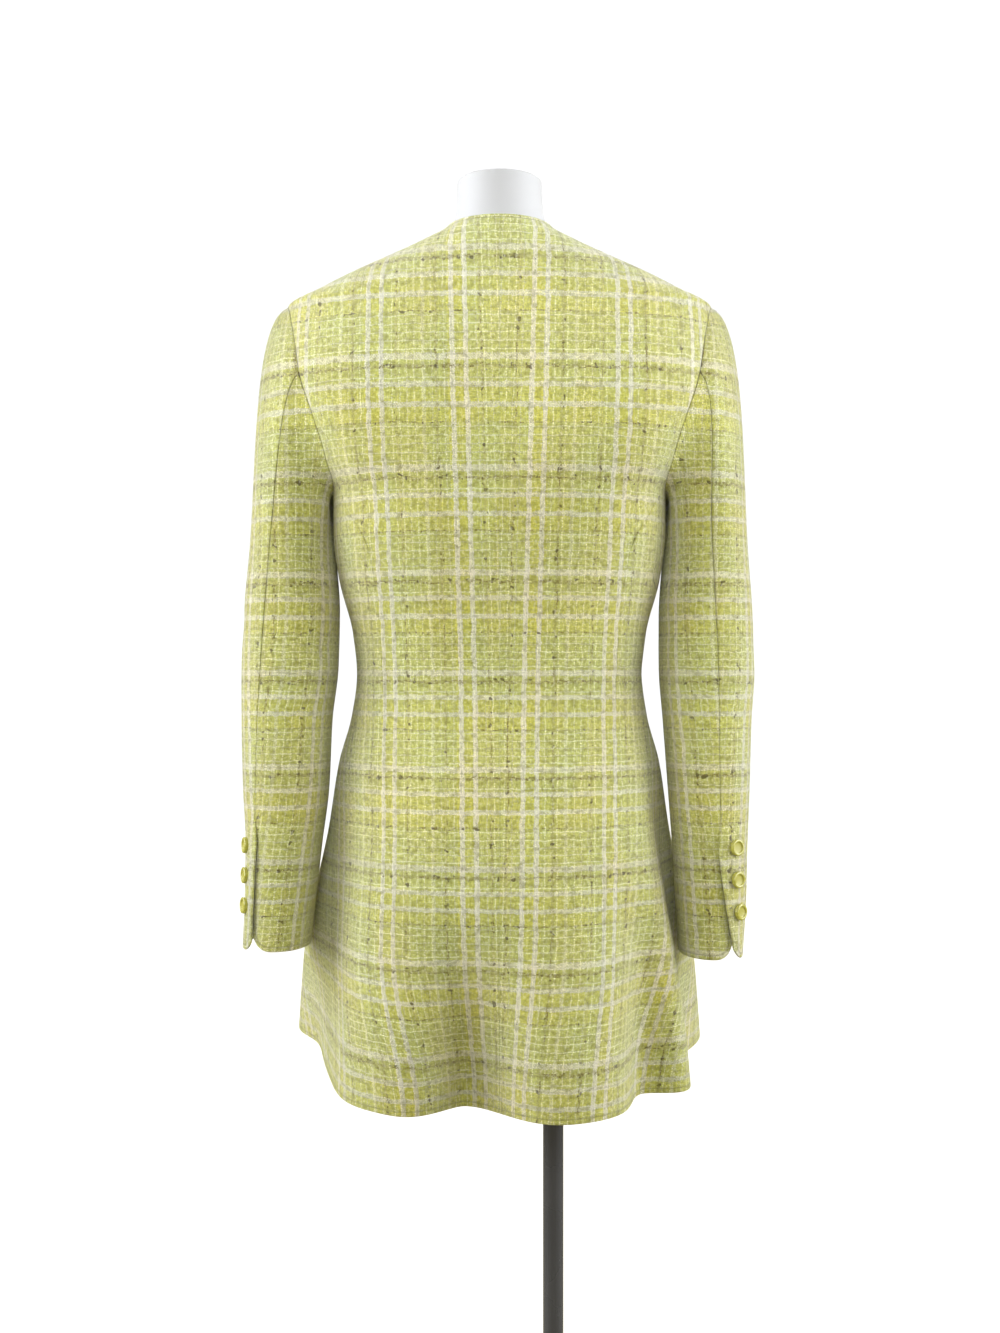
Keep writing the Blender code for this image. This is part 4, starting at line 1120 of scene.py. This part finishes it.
class Bench:
    """Puts nodes on one tree and feeds them with numbers or with other nodes' outputs."""

    def __init__(self, tree):
        self.tree = tree

    def fill(self, node, feeds):
        for name, value in dict(feeds).items():
            if isinstance(value, bpy.types.NodeSocket):
                self.tree.links.new(value, node.inputs[name])
            else:
                node.inputs[name].default_value = value

    def node(self, kind, feeds=(), **settings):
        node = self.tree.nodes.new("ShaderNode" + kind)
        for name, value in settings.items():
            setattr(node, name, value)
        self.fill(node, feeds)
        return node

    def group(self, tree, feeds):
        return self.node("Group", feeds, node_tree=tree).outputs

    def math(self, operation, a, b=0.0, c=0.0):
        return self.node("Math", {0: a, 1: b, 2: c}, operation=operation).outputs[0]

    def times(self, product, *others):
        for other in others:
            product = self.math("MULTIPLY", product, other)
        return product

    def less(self, a, b):
        return self.math("SUBTRACT", a, b)

    def between(self, amount, low, high):
        """A number from low to high as amount goes from 0 to 1."""
        return self.math("MULTIPLY_ADD", amount, high - low, low)

    def step(self, value, low, high):
        """0 below low, 1 above high, smooth between."""
        feeds = {"Value": value, "From Min": low, "From Max": high}
        return self.node("MapRange", feeds, interpolation_type="SMOOTHSTEP").outputs["Result"]

    def below(self, value, low, high):
        """1 below low, 0 above high, smooth between."""
        return self.less(1.0, self.step(value, low, high))

    def mix(self, amount, first, second, blend="MIX"):
        feeds = {0: amount, 6: first, 7: second}
        return self.node("Mix", feeds, data_type="RGBA", blend_type=blend).outputs[2]

    def tint(self, colour, paint, amount, share):
        """A colour pulled towards a paint by an amount, and at most by a share."""
        return self.mix(self.times(amount, share), colour, paint)

    def shade(self, colour, tone):
        return self.mix(1.0, colour, self.point(tone, tone, tone), "MULTIPLY")

    def point(self, x, y, z=0.0):
        return self.node("CombineXYZ", {0: x, 1: y, 2: z}).outputs[0]

    def parts(self, vector):
        return self.node("SeparateXYZ", {0: vector}).outputs

    def stretch(self, vector, factors):
        return self.node("VectorMath", {0: vector, 1: factors}, operation="MULTIPLY").outputs[0]

    def coordinates(self, kind="Object"):
        return self.node("TexCoord").outputs[kind]

    def uv(self, name):
        return self.node("UVMap", uv_map=name).outputs[0]

    def noise(self, vector, scale, detail=1.0):
        feeds = {"Vector": vector, "Scale": scale, "Detail": detail}
        return self.node("TexNoise", feeds, noise_dimensions="3D").outputs["Fac"]

    def chance(self, x, y):
        """A random number for each whole pair x, y."""
        feeds = {"Vector": self.point(x, y)}
        return self.node("TexWhiteNoise", feeds, noise_dimensions="2D").outputs["Value"]

    def bump(self, height, strength, distance):
        feeds = {"Height": height, "Strength": strength, "Distance": distance}
        return self.node("Bump", feeds).outputs[0]


def new_group(name, inputs, outputs):
    """An empty node group with named sockets: (bench, incoming sockets, the output node)."""
    tree = bpy.data.node_groups.new(name, "ShaderNodeTree")
    for in_out, sockets in (("INPUT", inputs), ("OUTPUT", outputs)):
        for title, kind in sockets:
            tree.interface.new_socket(title, in_out=in_out, socket_type="NodeSocket" + kind)
    incoming = tree.nodes.new("NodeGroupInput").outputs
    return Bench(tree), incoming, tree.nodes.new("NodeGroupOutput")


def new_finish(name, roughness, **settings):
    """A material with a Principled shader: (material, bench, shader)."""
    material = bpy.data.materials.new(name)
    material.use_nodes = True
    bench = Bench(material.node_tree)
    shader = material.node_tree.nodes["Principled BSDF"]
    bench.fill(shader, {"Roughness": roughness})
    bench.fill(shader, {title.replace("_", " "): value for title, value in settings.items()})
    return material, bench, shader


print("nodes in an empty tree:", len(new_group("scratch", (), ())[0].tree.nodes))
bpy.data.node_groups.remove(bpy.data.node_groups["scratch"])

# %% [markdown]
# ## Threads over and under each other
#
# In a plain weave each warp thread goes over one weft thread and under the next.  From a
# point's place across and along the cloth come the two threads that cross there, which of
# them lies on top, and the height of the rounded yarn.  The threads waver twice: slowly, as
# the cloth gives, and quickly, as a curly yarn does.  The tweed uses this with coarse
# yarns, and the cover of the form with fine ones.

# %% The weave as a node group
WEAVE_GROUP = "woven_threads"
WAVERING = ((85.0, 3.0, "Wander"), (430.0, 2.0, "Curl"))    # scale, detail, reach
YARN_DIP = 0.55             # height of a thread where the other one crosses it


def make_weave_group():
    bench, cloth, result = new_group(
        WEAVE_GROUP,
        (("Cloth", "Vector"), ("Warp Pitch", "Float"), ("Weft Pitch", "Float"),
         ("Wander", "Float"), ("Curl", "Float")),
        (("Over", "Float"), ("Height", "Float"), ("Gap", "Float"),
         ("Warp Thread", "Float"), ("Weft Thread", "Float")),
    )
    across, along, _ = bench.parts(cloth["Cloth"])
    threads, bows = [], []
    for line, place, pitch in (
            (across, bench.point(across, along), "Warp Pitch"),
            (along, bench.point(along, across, 3.0), "Weft Pitch")):
        for scale, detail, reach in WAVERING:
            swing = bench.less(bench.noise(place, scale, detail), 0.5)
            line = bench.math("MULTIPLY_ADD", swing, cloth[reach], line)
        at = bench.math("DIVIDE", line, cloth[pitch])
        threads.append(bench.math("FLOOR", at))
        bows.append(bench.math("SINE", bench.times(bench.math("FRACT", at), HALF_TURN)))
    pair = bench.times(bench.math("ADD", *threads), 0.5)
    over = bench.times(bench.math("FRACT", pair), 2.0)
    warp_high, weft_high = (
        bench.times(a, bench.between(b, YARN_DIP, 1.0)) for a, b in (bows, bows[::-1]))
    lifted = bench.times(bench.less(warp_high, weft_high), over)
    bench.fill(result, {
        "Over": over,
        "Height": bench.math("ADD", weft_high, lifted),
        "Gap": bench.times(*(bench.between(bow, 1.0, 0.0) for bow in bows)),
        "Warp Thread": threads[0],
        "Weft Thread": threads[1],
    })
    return bench.tree


weave_group = make_weave_group()
print(WEAVE_GROUP, "has", len(weave_group.nodes), "nodes")

# %% Settled dust as a node group


def make_dust_group():
    """A soft mask of dust that lies on what faces up, thicker in uneven patches."""
    bench, incoming, result = new_group(
        "settled_dust", (("Position", "Vector"), ("Patches", "Float")), (("Mask", "Float"),))
    up = bench.parts(bench.node("NewGeometry").outputs["Normal"])[2]
    patches = bench.noise(incoming["Position"], incoming["Patches"], 4.0)
    mask = bench.times(bench.step(up, 0.1, 0.95), bench.step(patches, 0.35, 0.75))
    bench.fill(result, {"Mask": mask})
    return bench.tree


dust_group = make_dust_group()


def dust_on(bench, position, patches):
    return bench.group(dust_group, {"Position": position, "Patches": patches})["Mask"]


print("groups so far:", [group.name for group in bpy.data.node_groups])

# %% [markdown]
#
# A weaver writes a check as two charts, one for the warp and one for the weft, a letter for
# each thread: c cream, y citron, g lime, k a duller lime, p pale lime, o olive slub and
# m moss.  The charts below are such a repeat.  A colour ramp with hard steps reads them, one
# stop for each run of one yarn, and every point of the cloth shows whichever of its two
# threads is on top.
#
# What makes such a cloth lively is its fancy yarn, so that comes next.  A slub is a thick,
# loosely spun place: on the threads that have them they show as short olive dashes, with a
# brown knot here and there.  A boucle yarn stands up in pale loops with shade between them,
# and the dye takes a little unevenly.

# %% Yarns and charts
YARNS = {
    "c": (0.83, 0.79, 0.645),
    "y": (0.64, 0.615, 0.12),
    "g": (0.58, 0.59, 0.17),
    "k": (0.56, 0.57, 0.17),
    "p": (0.80, 0.79, 0.47),
    "o": (0.54, 0.52, 0.18),
    "m": (0.58, 0.555, 0.19),
}
WARP_CHART = "ccccyyyyyyyccccyyggpggggkookgpgggggpppgggggpgggggpgggggpkmmkgpgggggg"
WEFT_CHART = "ookggcccccggpgggggpgggggpgggggpgggggpgkmyyyyyyyyyyccccyyyyyyyyyyccccggpgggggkm"
SLUBS = {"o": 1.0, "m": 0.9, "k": 0.25}     # how much slub a yarn has
PROUD_ENDS = {"c": 0.85, "p": 0.30, "o": 0.5, "m": 0.3}     # how proud it lies as warp
PROUD_PICKS = {"c": 0.30, "p": 0.75, "o": 0.6, "m": 0.4}    # and as weft
WARP_PITCH = WARP_REPEAT / len(WARP_CHART)
WEFT_PITCH = WEFT_REPEAT / len(WEFT_CHART)
FIRST_CREAM = 0.0305        # the first cream pair begins this far from centre back
WARP_SEED, WEFT_SEED = 1.0, 11.0
WARP_DASHED, WEFT_DASHED = 0.45, 0.36       # the lower, the longer are the slubbed stretches
KNOTS_FROM = 0.640
STITCH_PLACE = 0.0042       # the sewn line lies this far from a finished edge

SLUB_OLIVE = (0.17, 0.125, 0.032, 1.0)
KNOT_BROWN = (0.085, 0.065, 0.03, 1.0)
# painted shade between threads and between loops, and also the olive of blotches of uneven colour
SHADE_AND_BLOTCH_OLIVE = (0.26, 0.24, 0.05, 1.0)
LOOP_CREAM = (0.90, 0.88, 0.60, 1.0)
WARM_DYE = (1.03, 0.98, 0.82, 1.0)
COOL_DYE = (0.96, 1.01, 0.98, 1.0)
STITCH_OLIVE = (0.27, 0.25, 0.08, 1.0)
# painted shade in the groove of a seam
GROOVE_SHADE_OLIVE = (0.20, 0.18, 0.05, 1.0)
# painted shade along a deep seam and under the vent's flap
DEEP_SEAM_SHADE_OLIVE = (0.16, 0.14, 0.04, 1.0)


def run_starts(chart):
    return [i for i in range(len(chart)) if i == 0 or chart[i] != chart[i - 1]]


def chart_ramp(bench, chart, place, colour_of):
    """A ramp with a hard step at each change of yarn."""
    ramp = bench.node("ValToRGB", {0: place})
    stops = ramp.color_ramp
    stops.interpolation = "CONSTANT"
    for count, i in enumerate(run_starts(chart)):
        if count > 1:
            stops.elements.new(i / len(chart))
        stops.elements[count].position = i / len(chart)
    for count, i in enumerate(run_starts(chart)):
        stops.elements[count].color = (*colour_of(chart[i]), 1.0)
    return ramp.outputs["Color"]


def slub_and_pride(proud):
    return lambda yarn: (SLUBS.get(yarn, 0.0), proud.get(yarn, 0.0), 0.0)


for chart in (WARP_CHART, WEFT_CHART):
    print("threads in a repeat:", len(chart), "| runs of one yarn:", len(run_starts(chart)))

# %% One set of threads: its colours and its slubs


def yarn_colours(bench, chart, proud, thread, along, seed, dashed):
    """Colour, dashes, room for knots and pride of a set of threads."""
    def uneven(spread, start, scale, detail):
        """Noise along each thread that differs from one thread to the next."""
        own = bench.point(bench.times(thread, spread), along, seed + start)
        return bench.noise(own, scale, detail)

    middle = bench.math("ADD", thread, 0.5)
    place = bench.math("FRACT", bench.math("DIVIDE", middle, float(len(chart))))
    tone = bench.times(
        bench.between(bench.chance(thread, seed), 0.84, 1.14),
        bench.between(uneven(3.7, 0.0, 130.0, 2.0), 0.74, 1.26))
    colour = bench.shade(chart_ramp(bench, chart, place, YARNS.get), tone)
    slub, pride, _ = bench.parts(chart_ramp(bench, chart, place, slub_and_pride(proud)))
    beads = bench.step(uneven(5.3, 2.0, 170.0, 2.0), 0.40, 0.60)
    stretches = bench.step(uneven(2.3, 6.0, 22.0, 1.0), dashed, dashed + 0.18)
    dashes = bench.times(slub, bench.times(stretches, beads))
    return colour, dashes, bench.step(slub, 0.1, 0.2), pride


# %% The colour of the threads, then of the fuzz on them, then of what is sewn


def thread_colours(bench, place, across, along, weave, curls):
    """The colour of the thread on top, with its slubs and knots, and painted shade in the gaps
    between threads.
    """
    warp, warp_dashes, warp_knots, warp_pride = yarn_colours(
        bench, WARP_CHART, PROUD_ENDS, weave["Warp Thread"], along, WARP_SEED, WARP_DASHED)
    weft, weft_dashes, weft_knots, weft_pride = yarn_colours(
        bench, WEFT_CHART, PROUD_PICKS, weave["Weft Thread"], across, WEFT_SEED, WEFT_DASHED)
    over = bench.math(
        "ADD", bench.between(weave["Over"], 0.20, 0.80), bench.between(curls, -0.4, 0.4))
    fuzz = bench.noise(bench.point(along, across, 5.0), 260.0, 2.0)
    shown = bench.times(
        bench.between(bench.noise(place, 48.0, 2.0), -0.1, 1.05), bench.between(fuzz, 0.1, 1.5))
    over = bench.math("MULTIPLY_ADD", bench.less(warp_pride, weft_pride), shown, over)
    # painted shade in the gaps between threads
    colour = bench.tint(bench.mix(over, weft, warp), SHADE_AND_BLOTCH_OLIVE, weave["Gap"], 0.5)
    colour = bench.tint(colour, SLUB_OLIVE, warp_dashes, bench.between(over, 0.25, 1.1))
    colour = bench.tint(colour, SLUB_OLIVE, weft_dashes, bench.between(over, 1.1, 0.25))
    lumps = bench.step(bench.noise(place, 165.0, 1.0), KNOTS_FROM, KNOTS_FROM + 0.04)
    knots = bench.times(lumps, bench.math("MAXIMUM", warp_knots, weft_knots))
    return bench.tint(colour, KNOT_BROWN, knots, 0.85)


def fuzzy(bench, colour, place, height):
    """Pale loops, painted shade between them, unevenness from tufts to patches of dye, and painted
    shade on the low sides of the yarns.
    """
    loops = bench.noise(bench.stretch(place, (1.0, 0.8, 1.0)), 420.0, 2.0)
    colour = bench.tint(colour, LOOP_CREAM, bench.step(loops, 0.50, 0.70), 0.42)
    # painted shade between the loops
    colour = bench.tint(colour, SHADE_AND_BLOTCH_OLIVE, bench.step(loops, 0.48, 0.28), 0.5)
    # olive blotches of uneven colour
    blotch = bench.noise(bench.stretch(place, (1.0, 1.5, 1.0)), 130.0, 2.0)
    colour = bench.tint(colour, SHADE_AND_BLOTCH_OLIVE, bench.step(blotch, 0.52, 0.30), 0.45)
    patches = bench.noise(bench.stretch(place, (1.0, 0.4, 1.0)), 26.0, 3.0)
    dye = bench.mix(bench.step(patches, 0.35, 0.65), WARM_DYE, COOL_DYE)
    tuft = bench.between(bench.noise(place, 900.0, 1.0), 0.82, 1.18)
    cloud = bench.between(bench.noise(place, 11.0, 3.0), 0.90, 1.10)
    # the yarns' low sides are darker, a painted shade of their roundness; tufts and clouds add
    # random tone
    tone = bench.times(tuft, cloud, bench.between(height, 0.84, 1.36))
    return bench.shade(bench.mix(0.5, colour, dye, "MULTIPLY"), tone)


def sewn(bench, colour, place, edges):
    """The line of stitches, and painted shade in the seams and under the vent's flap: (colour,
    stitches).
    """
    seam, open_edge, _ = bench.parts(edges)
    from_line = bench.math("ABSOLUTE", bench.less(open_edge, STITCH_PLACE))
    stitched = bench.below(from_line, 0.0003, 0.0011)
    colour = bench.tint(colour, STITCH_OLIVE, stitched, 0.45)
    # painted shade in the groove of every seam
    colour = bench.tint(colour, GROOVE_SHADE_OLIVE, bench.below(seam, 0.0, 0.0016), 0.12)
    # painted shade along the deep seams, uneven along them and darkest under the vent's flap
    uneven_seam_shade = bench.between(bench.step(bench.noise(place, 60.0, 2.0), 0.35, 0.65), 0.2, 0.6)
    darkest_seam_shade = bench.times(bench.below(seam, -0.0026, -0.0010), 0.85)
    deep = bench.below(seam, -0.0016, 0.0)
    return bench.tint(colour, DEEP_SEAM_SHADE_OLIVE, deep, bench.math("MAXIMUM", uneven_seam_shade, darkest_seam_shade)), stitched


# %% The whole check as a node group
def make_check_group():
    bench, cloth, result = new_group(
        "tweed_check",
        (("Cloth", "Vector"), ("Edges", "Vector")),
        (("Color", "Color"), ("Height", "Float"), ("Roughness", "Float")),
    )
    across, along, _ = bench.parts(cloth["Cloth"])
    place = bench.point(bench.less(across, FIRST_CREAM), along)
    weave = bench.group(weave_group, {
        "Cloth": place, "Warp Pitch": WARP_PITCH, "Weft Pitch": WEFT_PITCH,
        "Wander": 0.0036, "Curl": 0.0019})
    curls = bench.noise(place, 700.0, 2.0)
    colour = thread_colours(bench, place, across, along, weave, curls)
    colour = fuzzy(bench, colour, place, weave["Height"])
    colour, stitched = sewn(bench, colour, place, cloth["Edges"])
    height = bench.math("MULTIPLY_ADD", curls, 0.55, weave["Height"])
    bench.fill(result, {
        "Color": colour,
        "Height": bench.math("MULTIPLY_ADD", stitched, -0.8, height),
        "Roughness": bench.between(curls, 0.80, 0.98),
    })
    return bench.tree


check_group = make_check_group()
print("nodes in the check:", len(check_group.nodes))

# %% The tweed itself


def make_tweed():
    material, bench, shader = new_finish(
        "tweed_cloth", 0.9, Sheen_Weight=0.9, Sheen_Roughness=0.35,
        Sheen_Tint=(1.0, 0.99, 0.88, 1.0), Specular_IOR_Level=0.15)
    check = bench.group(check_group, {"Cloth": bench.uv("weave"), "Edges": bench.uv("edges")})
    bench.fill(shader, {
        "Base Color": check["Color"],
        "Roughness": check["Roughness"],
        "Normal": bench.bump(check["Height"], 0.75, 0.0007),
    })
    return material


tweed = make_tweed()
for facts in made.values():
    facts["piece"].data.materials.append(tweed)
print("pieces in tweed:", len(made))

# %% [markdown]
# ## The form's cover, the buttons and the stand
#
# The form is covered in fine off-white jersey, which takes a little dust.  The buttons are
# moulded in clear yellow, glossy on the rim and satin on the face.  The pole, its flange and
# the base are steel with a dark, smooth coat.

# %% Finish of the form
COVER_RADIUS = 0.13
JERSEY_PALE, JERSEY_GREY = (0.66, 0.66, 0.65, 1.0), (0.61, 0.61, 0.60, 1.0)
KNIT_SHADE = (0.50, 0.50, 0.48, 1.0)
JERSEY_DUST = (0.62, 0.61, 0.58, 1.0)


def wrap_cover(form):
    """A UV map in metres round the form: round it, and up it."""
    mesh = form.data
    place = np.zeros(len(mesh.vertices) * 3)
    mesh.vertices.foreach_get("co", place)
    place = place.reshape(-1, 3)[corner_vertices(mesh)]
    angle = np.arctan2(place[:, 1], place[:, 0] - FORM_X)
    caps = sum(len(face.vertices) for face in mesh.polygons if len(face.vertices) > 4)
    four = angle[: len(angle) - caps].reshape(-1, 4)
    torn = np.ptp(four, axis=1) > HALF_TURN
    four[torn] = np.where(four[torn] < 0.0, four[torn] + 2.0 * HALF_TURN, four[torn])
    wrap = np.column_stack([angle * COVER_RADIUS, place[:, 2]])
    mesh.uv_layers.new(name="cover").data.foreach_set("uv", wrap.astype(np.float32).ravel())


def make_jersey():
    material, bench, shader = new_finish("form_jersey", 0.7, Sheen_Weight=0.12)
    knit = bench.group(weave_group, {
        "Cloth": bench.uv("cover"), "Warp Pitch": 0.0008, "Weft Pitch": 0.0006,
        "Wander": 0.0003, "Curl": 0.0})
    position = bench.coordinates()
    dust = dust_on(bench, position, 30.0)
    tone = bench.mix(bench.noise(position, 14.0, 3.0), JERSEY_PALE, JERSEY_GREY)
    tone = bench.tint(tone, KNIT_SHADE, knit["Gap"], 0.35)
    bench.fill(shader, {
        "Base Color": bench.tint(tone, JERSEY_DUST, dust, 0.25),
        "Roughness": bench.between(dust, 0.62, 0.85),
        "Normal": bench.bump(knit["Height"], 0.35, 0.0002),
    })
    return material


wrap_cover(dress_form)
dress_form.data.materials.append(make_jersey())
print("UV maps of the form:", [layer.name for layer in dress_form.data.uv_layers])

# %% Finish of the buttons
BUTTON_DEEP, BUTTON_BRIGHT = (0.44, 0.42, 0.055, 1.0), (0.55, 0.52, 0.09, 1.0)
BUTTON_FLOOR = (0.35, 0.31, 0.04, 1.0)      # inside the rim
BUTTON_DUST = (0.70, 0.68, 0.55, 1.0)
RIM_FROM, RIM_TO = 0.60, 0.70               # shares of the radius


def make_button_finish():
    material, bench, shader = new_finish("button_yellow", 0.3, Coat_Weight=0.0, Coat_Roughness=0.12)
    from_middle = bench.parts(bench.uv("face"))[0]
    position = bench.coordinates()
    marbled = bench.noise(position, 420.0, 3.0)
    tone = bench.mix(marbled, BUTTON_DEEP, BUTTON_BRIGHT)
    rim = bench.step(from_middle, RIM_FROM, RIM_TO)
    tone = bench.tint(tone, BUTTON_FLOOR, bench.less(1.0, rim), 0.30)
    tone = bench.tint(tone, BUTTON_DUST, dust_on(bench, position, 260.0), 0.12)
    bench.fill(shader, {
        "Base Color": tone,
        "Roughness": bench.math(
            "ADD", bench.between(rim, 0.42, 0.22), bench.between(marbled, 0.0, 0.1)),
        "Coat Weight": bench.between(rim, 0.2, 0.6),
        "Normal": bench.bump(bench.noise(position, 1500.0, 2.0), 0.15, 0.0001),
    })
    return material


button_finish = make_button_finish()
for button in buttons:
    button.data.materials.append(button_finish)
print("buttons finished:", len(buttons))

# %% Finish of the stand
STAND_DARK, STAND_RUBBED = (0.066, 0.066, 0.070, 1.0), (0.090, 0.090, 0.095, 1.0)
STAND_DUST = (0.22, 0.215, 0.20, 1.0)


def make_stand_finish():
    material, bench, shader = new_finish(
        "stand_coat", 0.28, Metallic=0.25, Coat_Weight=0.3, Coat_Roughness=0.1)
    position = bench.coordinates()
    dust = dust_on(bench, position, 22.0)
    rubbed = bench.noise(position, 17.0, 4.0)
    tone = bench.mix(rubbed, STAND_DARK, STAND_RUBBED)
    bench.fill(shader, {
        "Base Color": bench.tint(tone, STAND_DUST, dust, 0.30),
        "Roughness": bench.math(
            "ADD", bench.between(rubbed, 0.20, 0.34), bench.between(dust, 0.0, 0.3)),
        "Normal": bench.bump(bench.noise(position, 380.0, 2.0), 0.12, 0.0003),
    })
    return material


stand_finish = make_stand_finish()
for node in ("stand_pole", "stand_base", "form_flange"):
    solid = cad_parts[node]
    solid.data.materials.clear()
    solid.data.materials.append(stand_finish)
print("stand finished")

# %% [markdown]
# ## The studio
#
# A big floor and a room look white from the camera, as a studio's paper sweep does, but give
# a light that is warm from below and white from above, so that undersides take a warm glow.
# A wide soft lamp on each side models the folds, a small one beside the camera and a weak
# one in front of the jacket fill the shade.  The camera stands behind the wearer's back, at
# the height of the waist.

# %% Floor and room
WHITE = (1.0, 1.0, 1.0, 1.0)
WARM = (1.0, 0.90, 0.52, 1.0)               # light from below
FLOOR_DEEP, FLOOR_PALE = (0.38, 0.34, 0.22, 1.0), (0.42, 0.38, 0.25, 1.0)
FLOOR_RADIUS, FLOOR_SIDES = 8.0, 96


def make_floor():
    turns = circle(FLOOR_SIDES)
    ring = np.column_stack([
        FLOOR_RADIUS * np.cos(turns), FLOOR_RADIUS * np.sin(turns), np.zeros(FLOOR_SIDES)])
    floor = new_object("studio_floor", ring, [tuple(range(FLOOR_SIDES))])
    material, bench, shader = new_finish("floor_white", 0.6, Emission_Color=WHITE)
    shade = bench.noise(bench.coordinates(), 3.0, 3.0)
    bench.fill(shader, {
        "Base Color": bench.mix(shade, FLOOR_DEEP, FLOOR_PALE),
        "Emission Strength": bench.node("LightPath").outputs["Is Camera Ray"],
    })
    floor.data.materials.append(material)


def light_room():
    world = bpy.data.worlds.new("white_room")
    scene.world = world
    world.use_nodes = True
    bench = Bench(world.node_tree)
    seen = bench.node("LightPath").outputs["Is Camera Ray"]
    up = bench.parts(bench.coordinates("Generated"))[2]
    glow = bench.between(bench.step(up, -0.6, 0.5), 0.05, 0.47)
    warm = bench.mix(bench.step(up, -0.1, 0.7), WARM, WHITE)
    bench.fill(world.node_tree.nodes["Background"], {
        "Color": bench.mix(seen, warm, WHITE),
        "Strength": bench.math("MAXIMUM", glow, bench.times(seen, 1.05)),
    })


make_floor()
light_room()
print("floor and room are white")

# %% Lamps and camera
LIT_MOST = Vector((FORM_X, 0.0, 1.25))
COOL = (0.97, 1.0, 1.10)
CAMERA_PLACE = (0.0495, 1.45, 0.98)
LENS_MM, SENSOR_MM = 42.1, 36.0
LAMPS = (       # name, place, size, watts, spread in degrees
    ("lamp_left", (2.3, 0.3, 1.7), 2.2, 26.5, 100.0),
    ("lamp_right", (-2.2, 0.3, 1.7), 2.2, 24.5, 100.0),
    ("lamp_camera_side", (0.1, 2.0, 1.75), 1.0, 1.6, 50.0),
    ("lamp_front", (0.0, -2.2, 1.7), 1.6, 6.0, 100.0),
)


def soft_lamp(name, place, size, power, spread):
    light = bpy.data.lights.new(name, "AREA")
    light.shape = "DISK"
    light.size = size
    light.energy = power
    light.color = COOL
    light.spread = math.radians(spread)
    lamp = bpy.data.objects.new(name, light)
    lamp.location = place
    lamp.rotation_euler = (LIT_MOST - lamp.location).to_track_quat("-Z", "Y").to_euler()
    scene.collection.objects.link(lamp)


for lamp_facts in LAMPS:
    soft_lamp(*lamp_facts)

camera_data = bpy.data.cameras.new("camera")
camera_data.lens = LENS_MM
camera_data.sensor_width = SENSOR_MM
camera = bpy.data.objects.new("camera", camera_data)
camera.location = CAMERA_PLACE
camera.rotation_euler = (RIGHT_ANGLE, 0.0, HALF_TURN)
scene.collection.objects.link(camera)
scene.camera = camera
scene.view_settings.view_transform = "Standard"
print("camera and lamps placed")

# %% The end
bpy.context.view_layer.update()
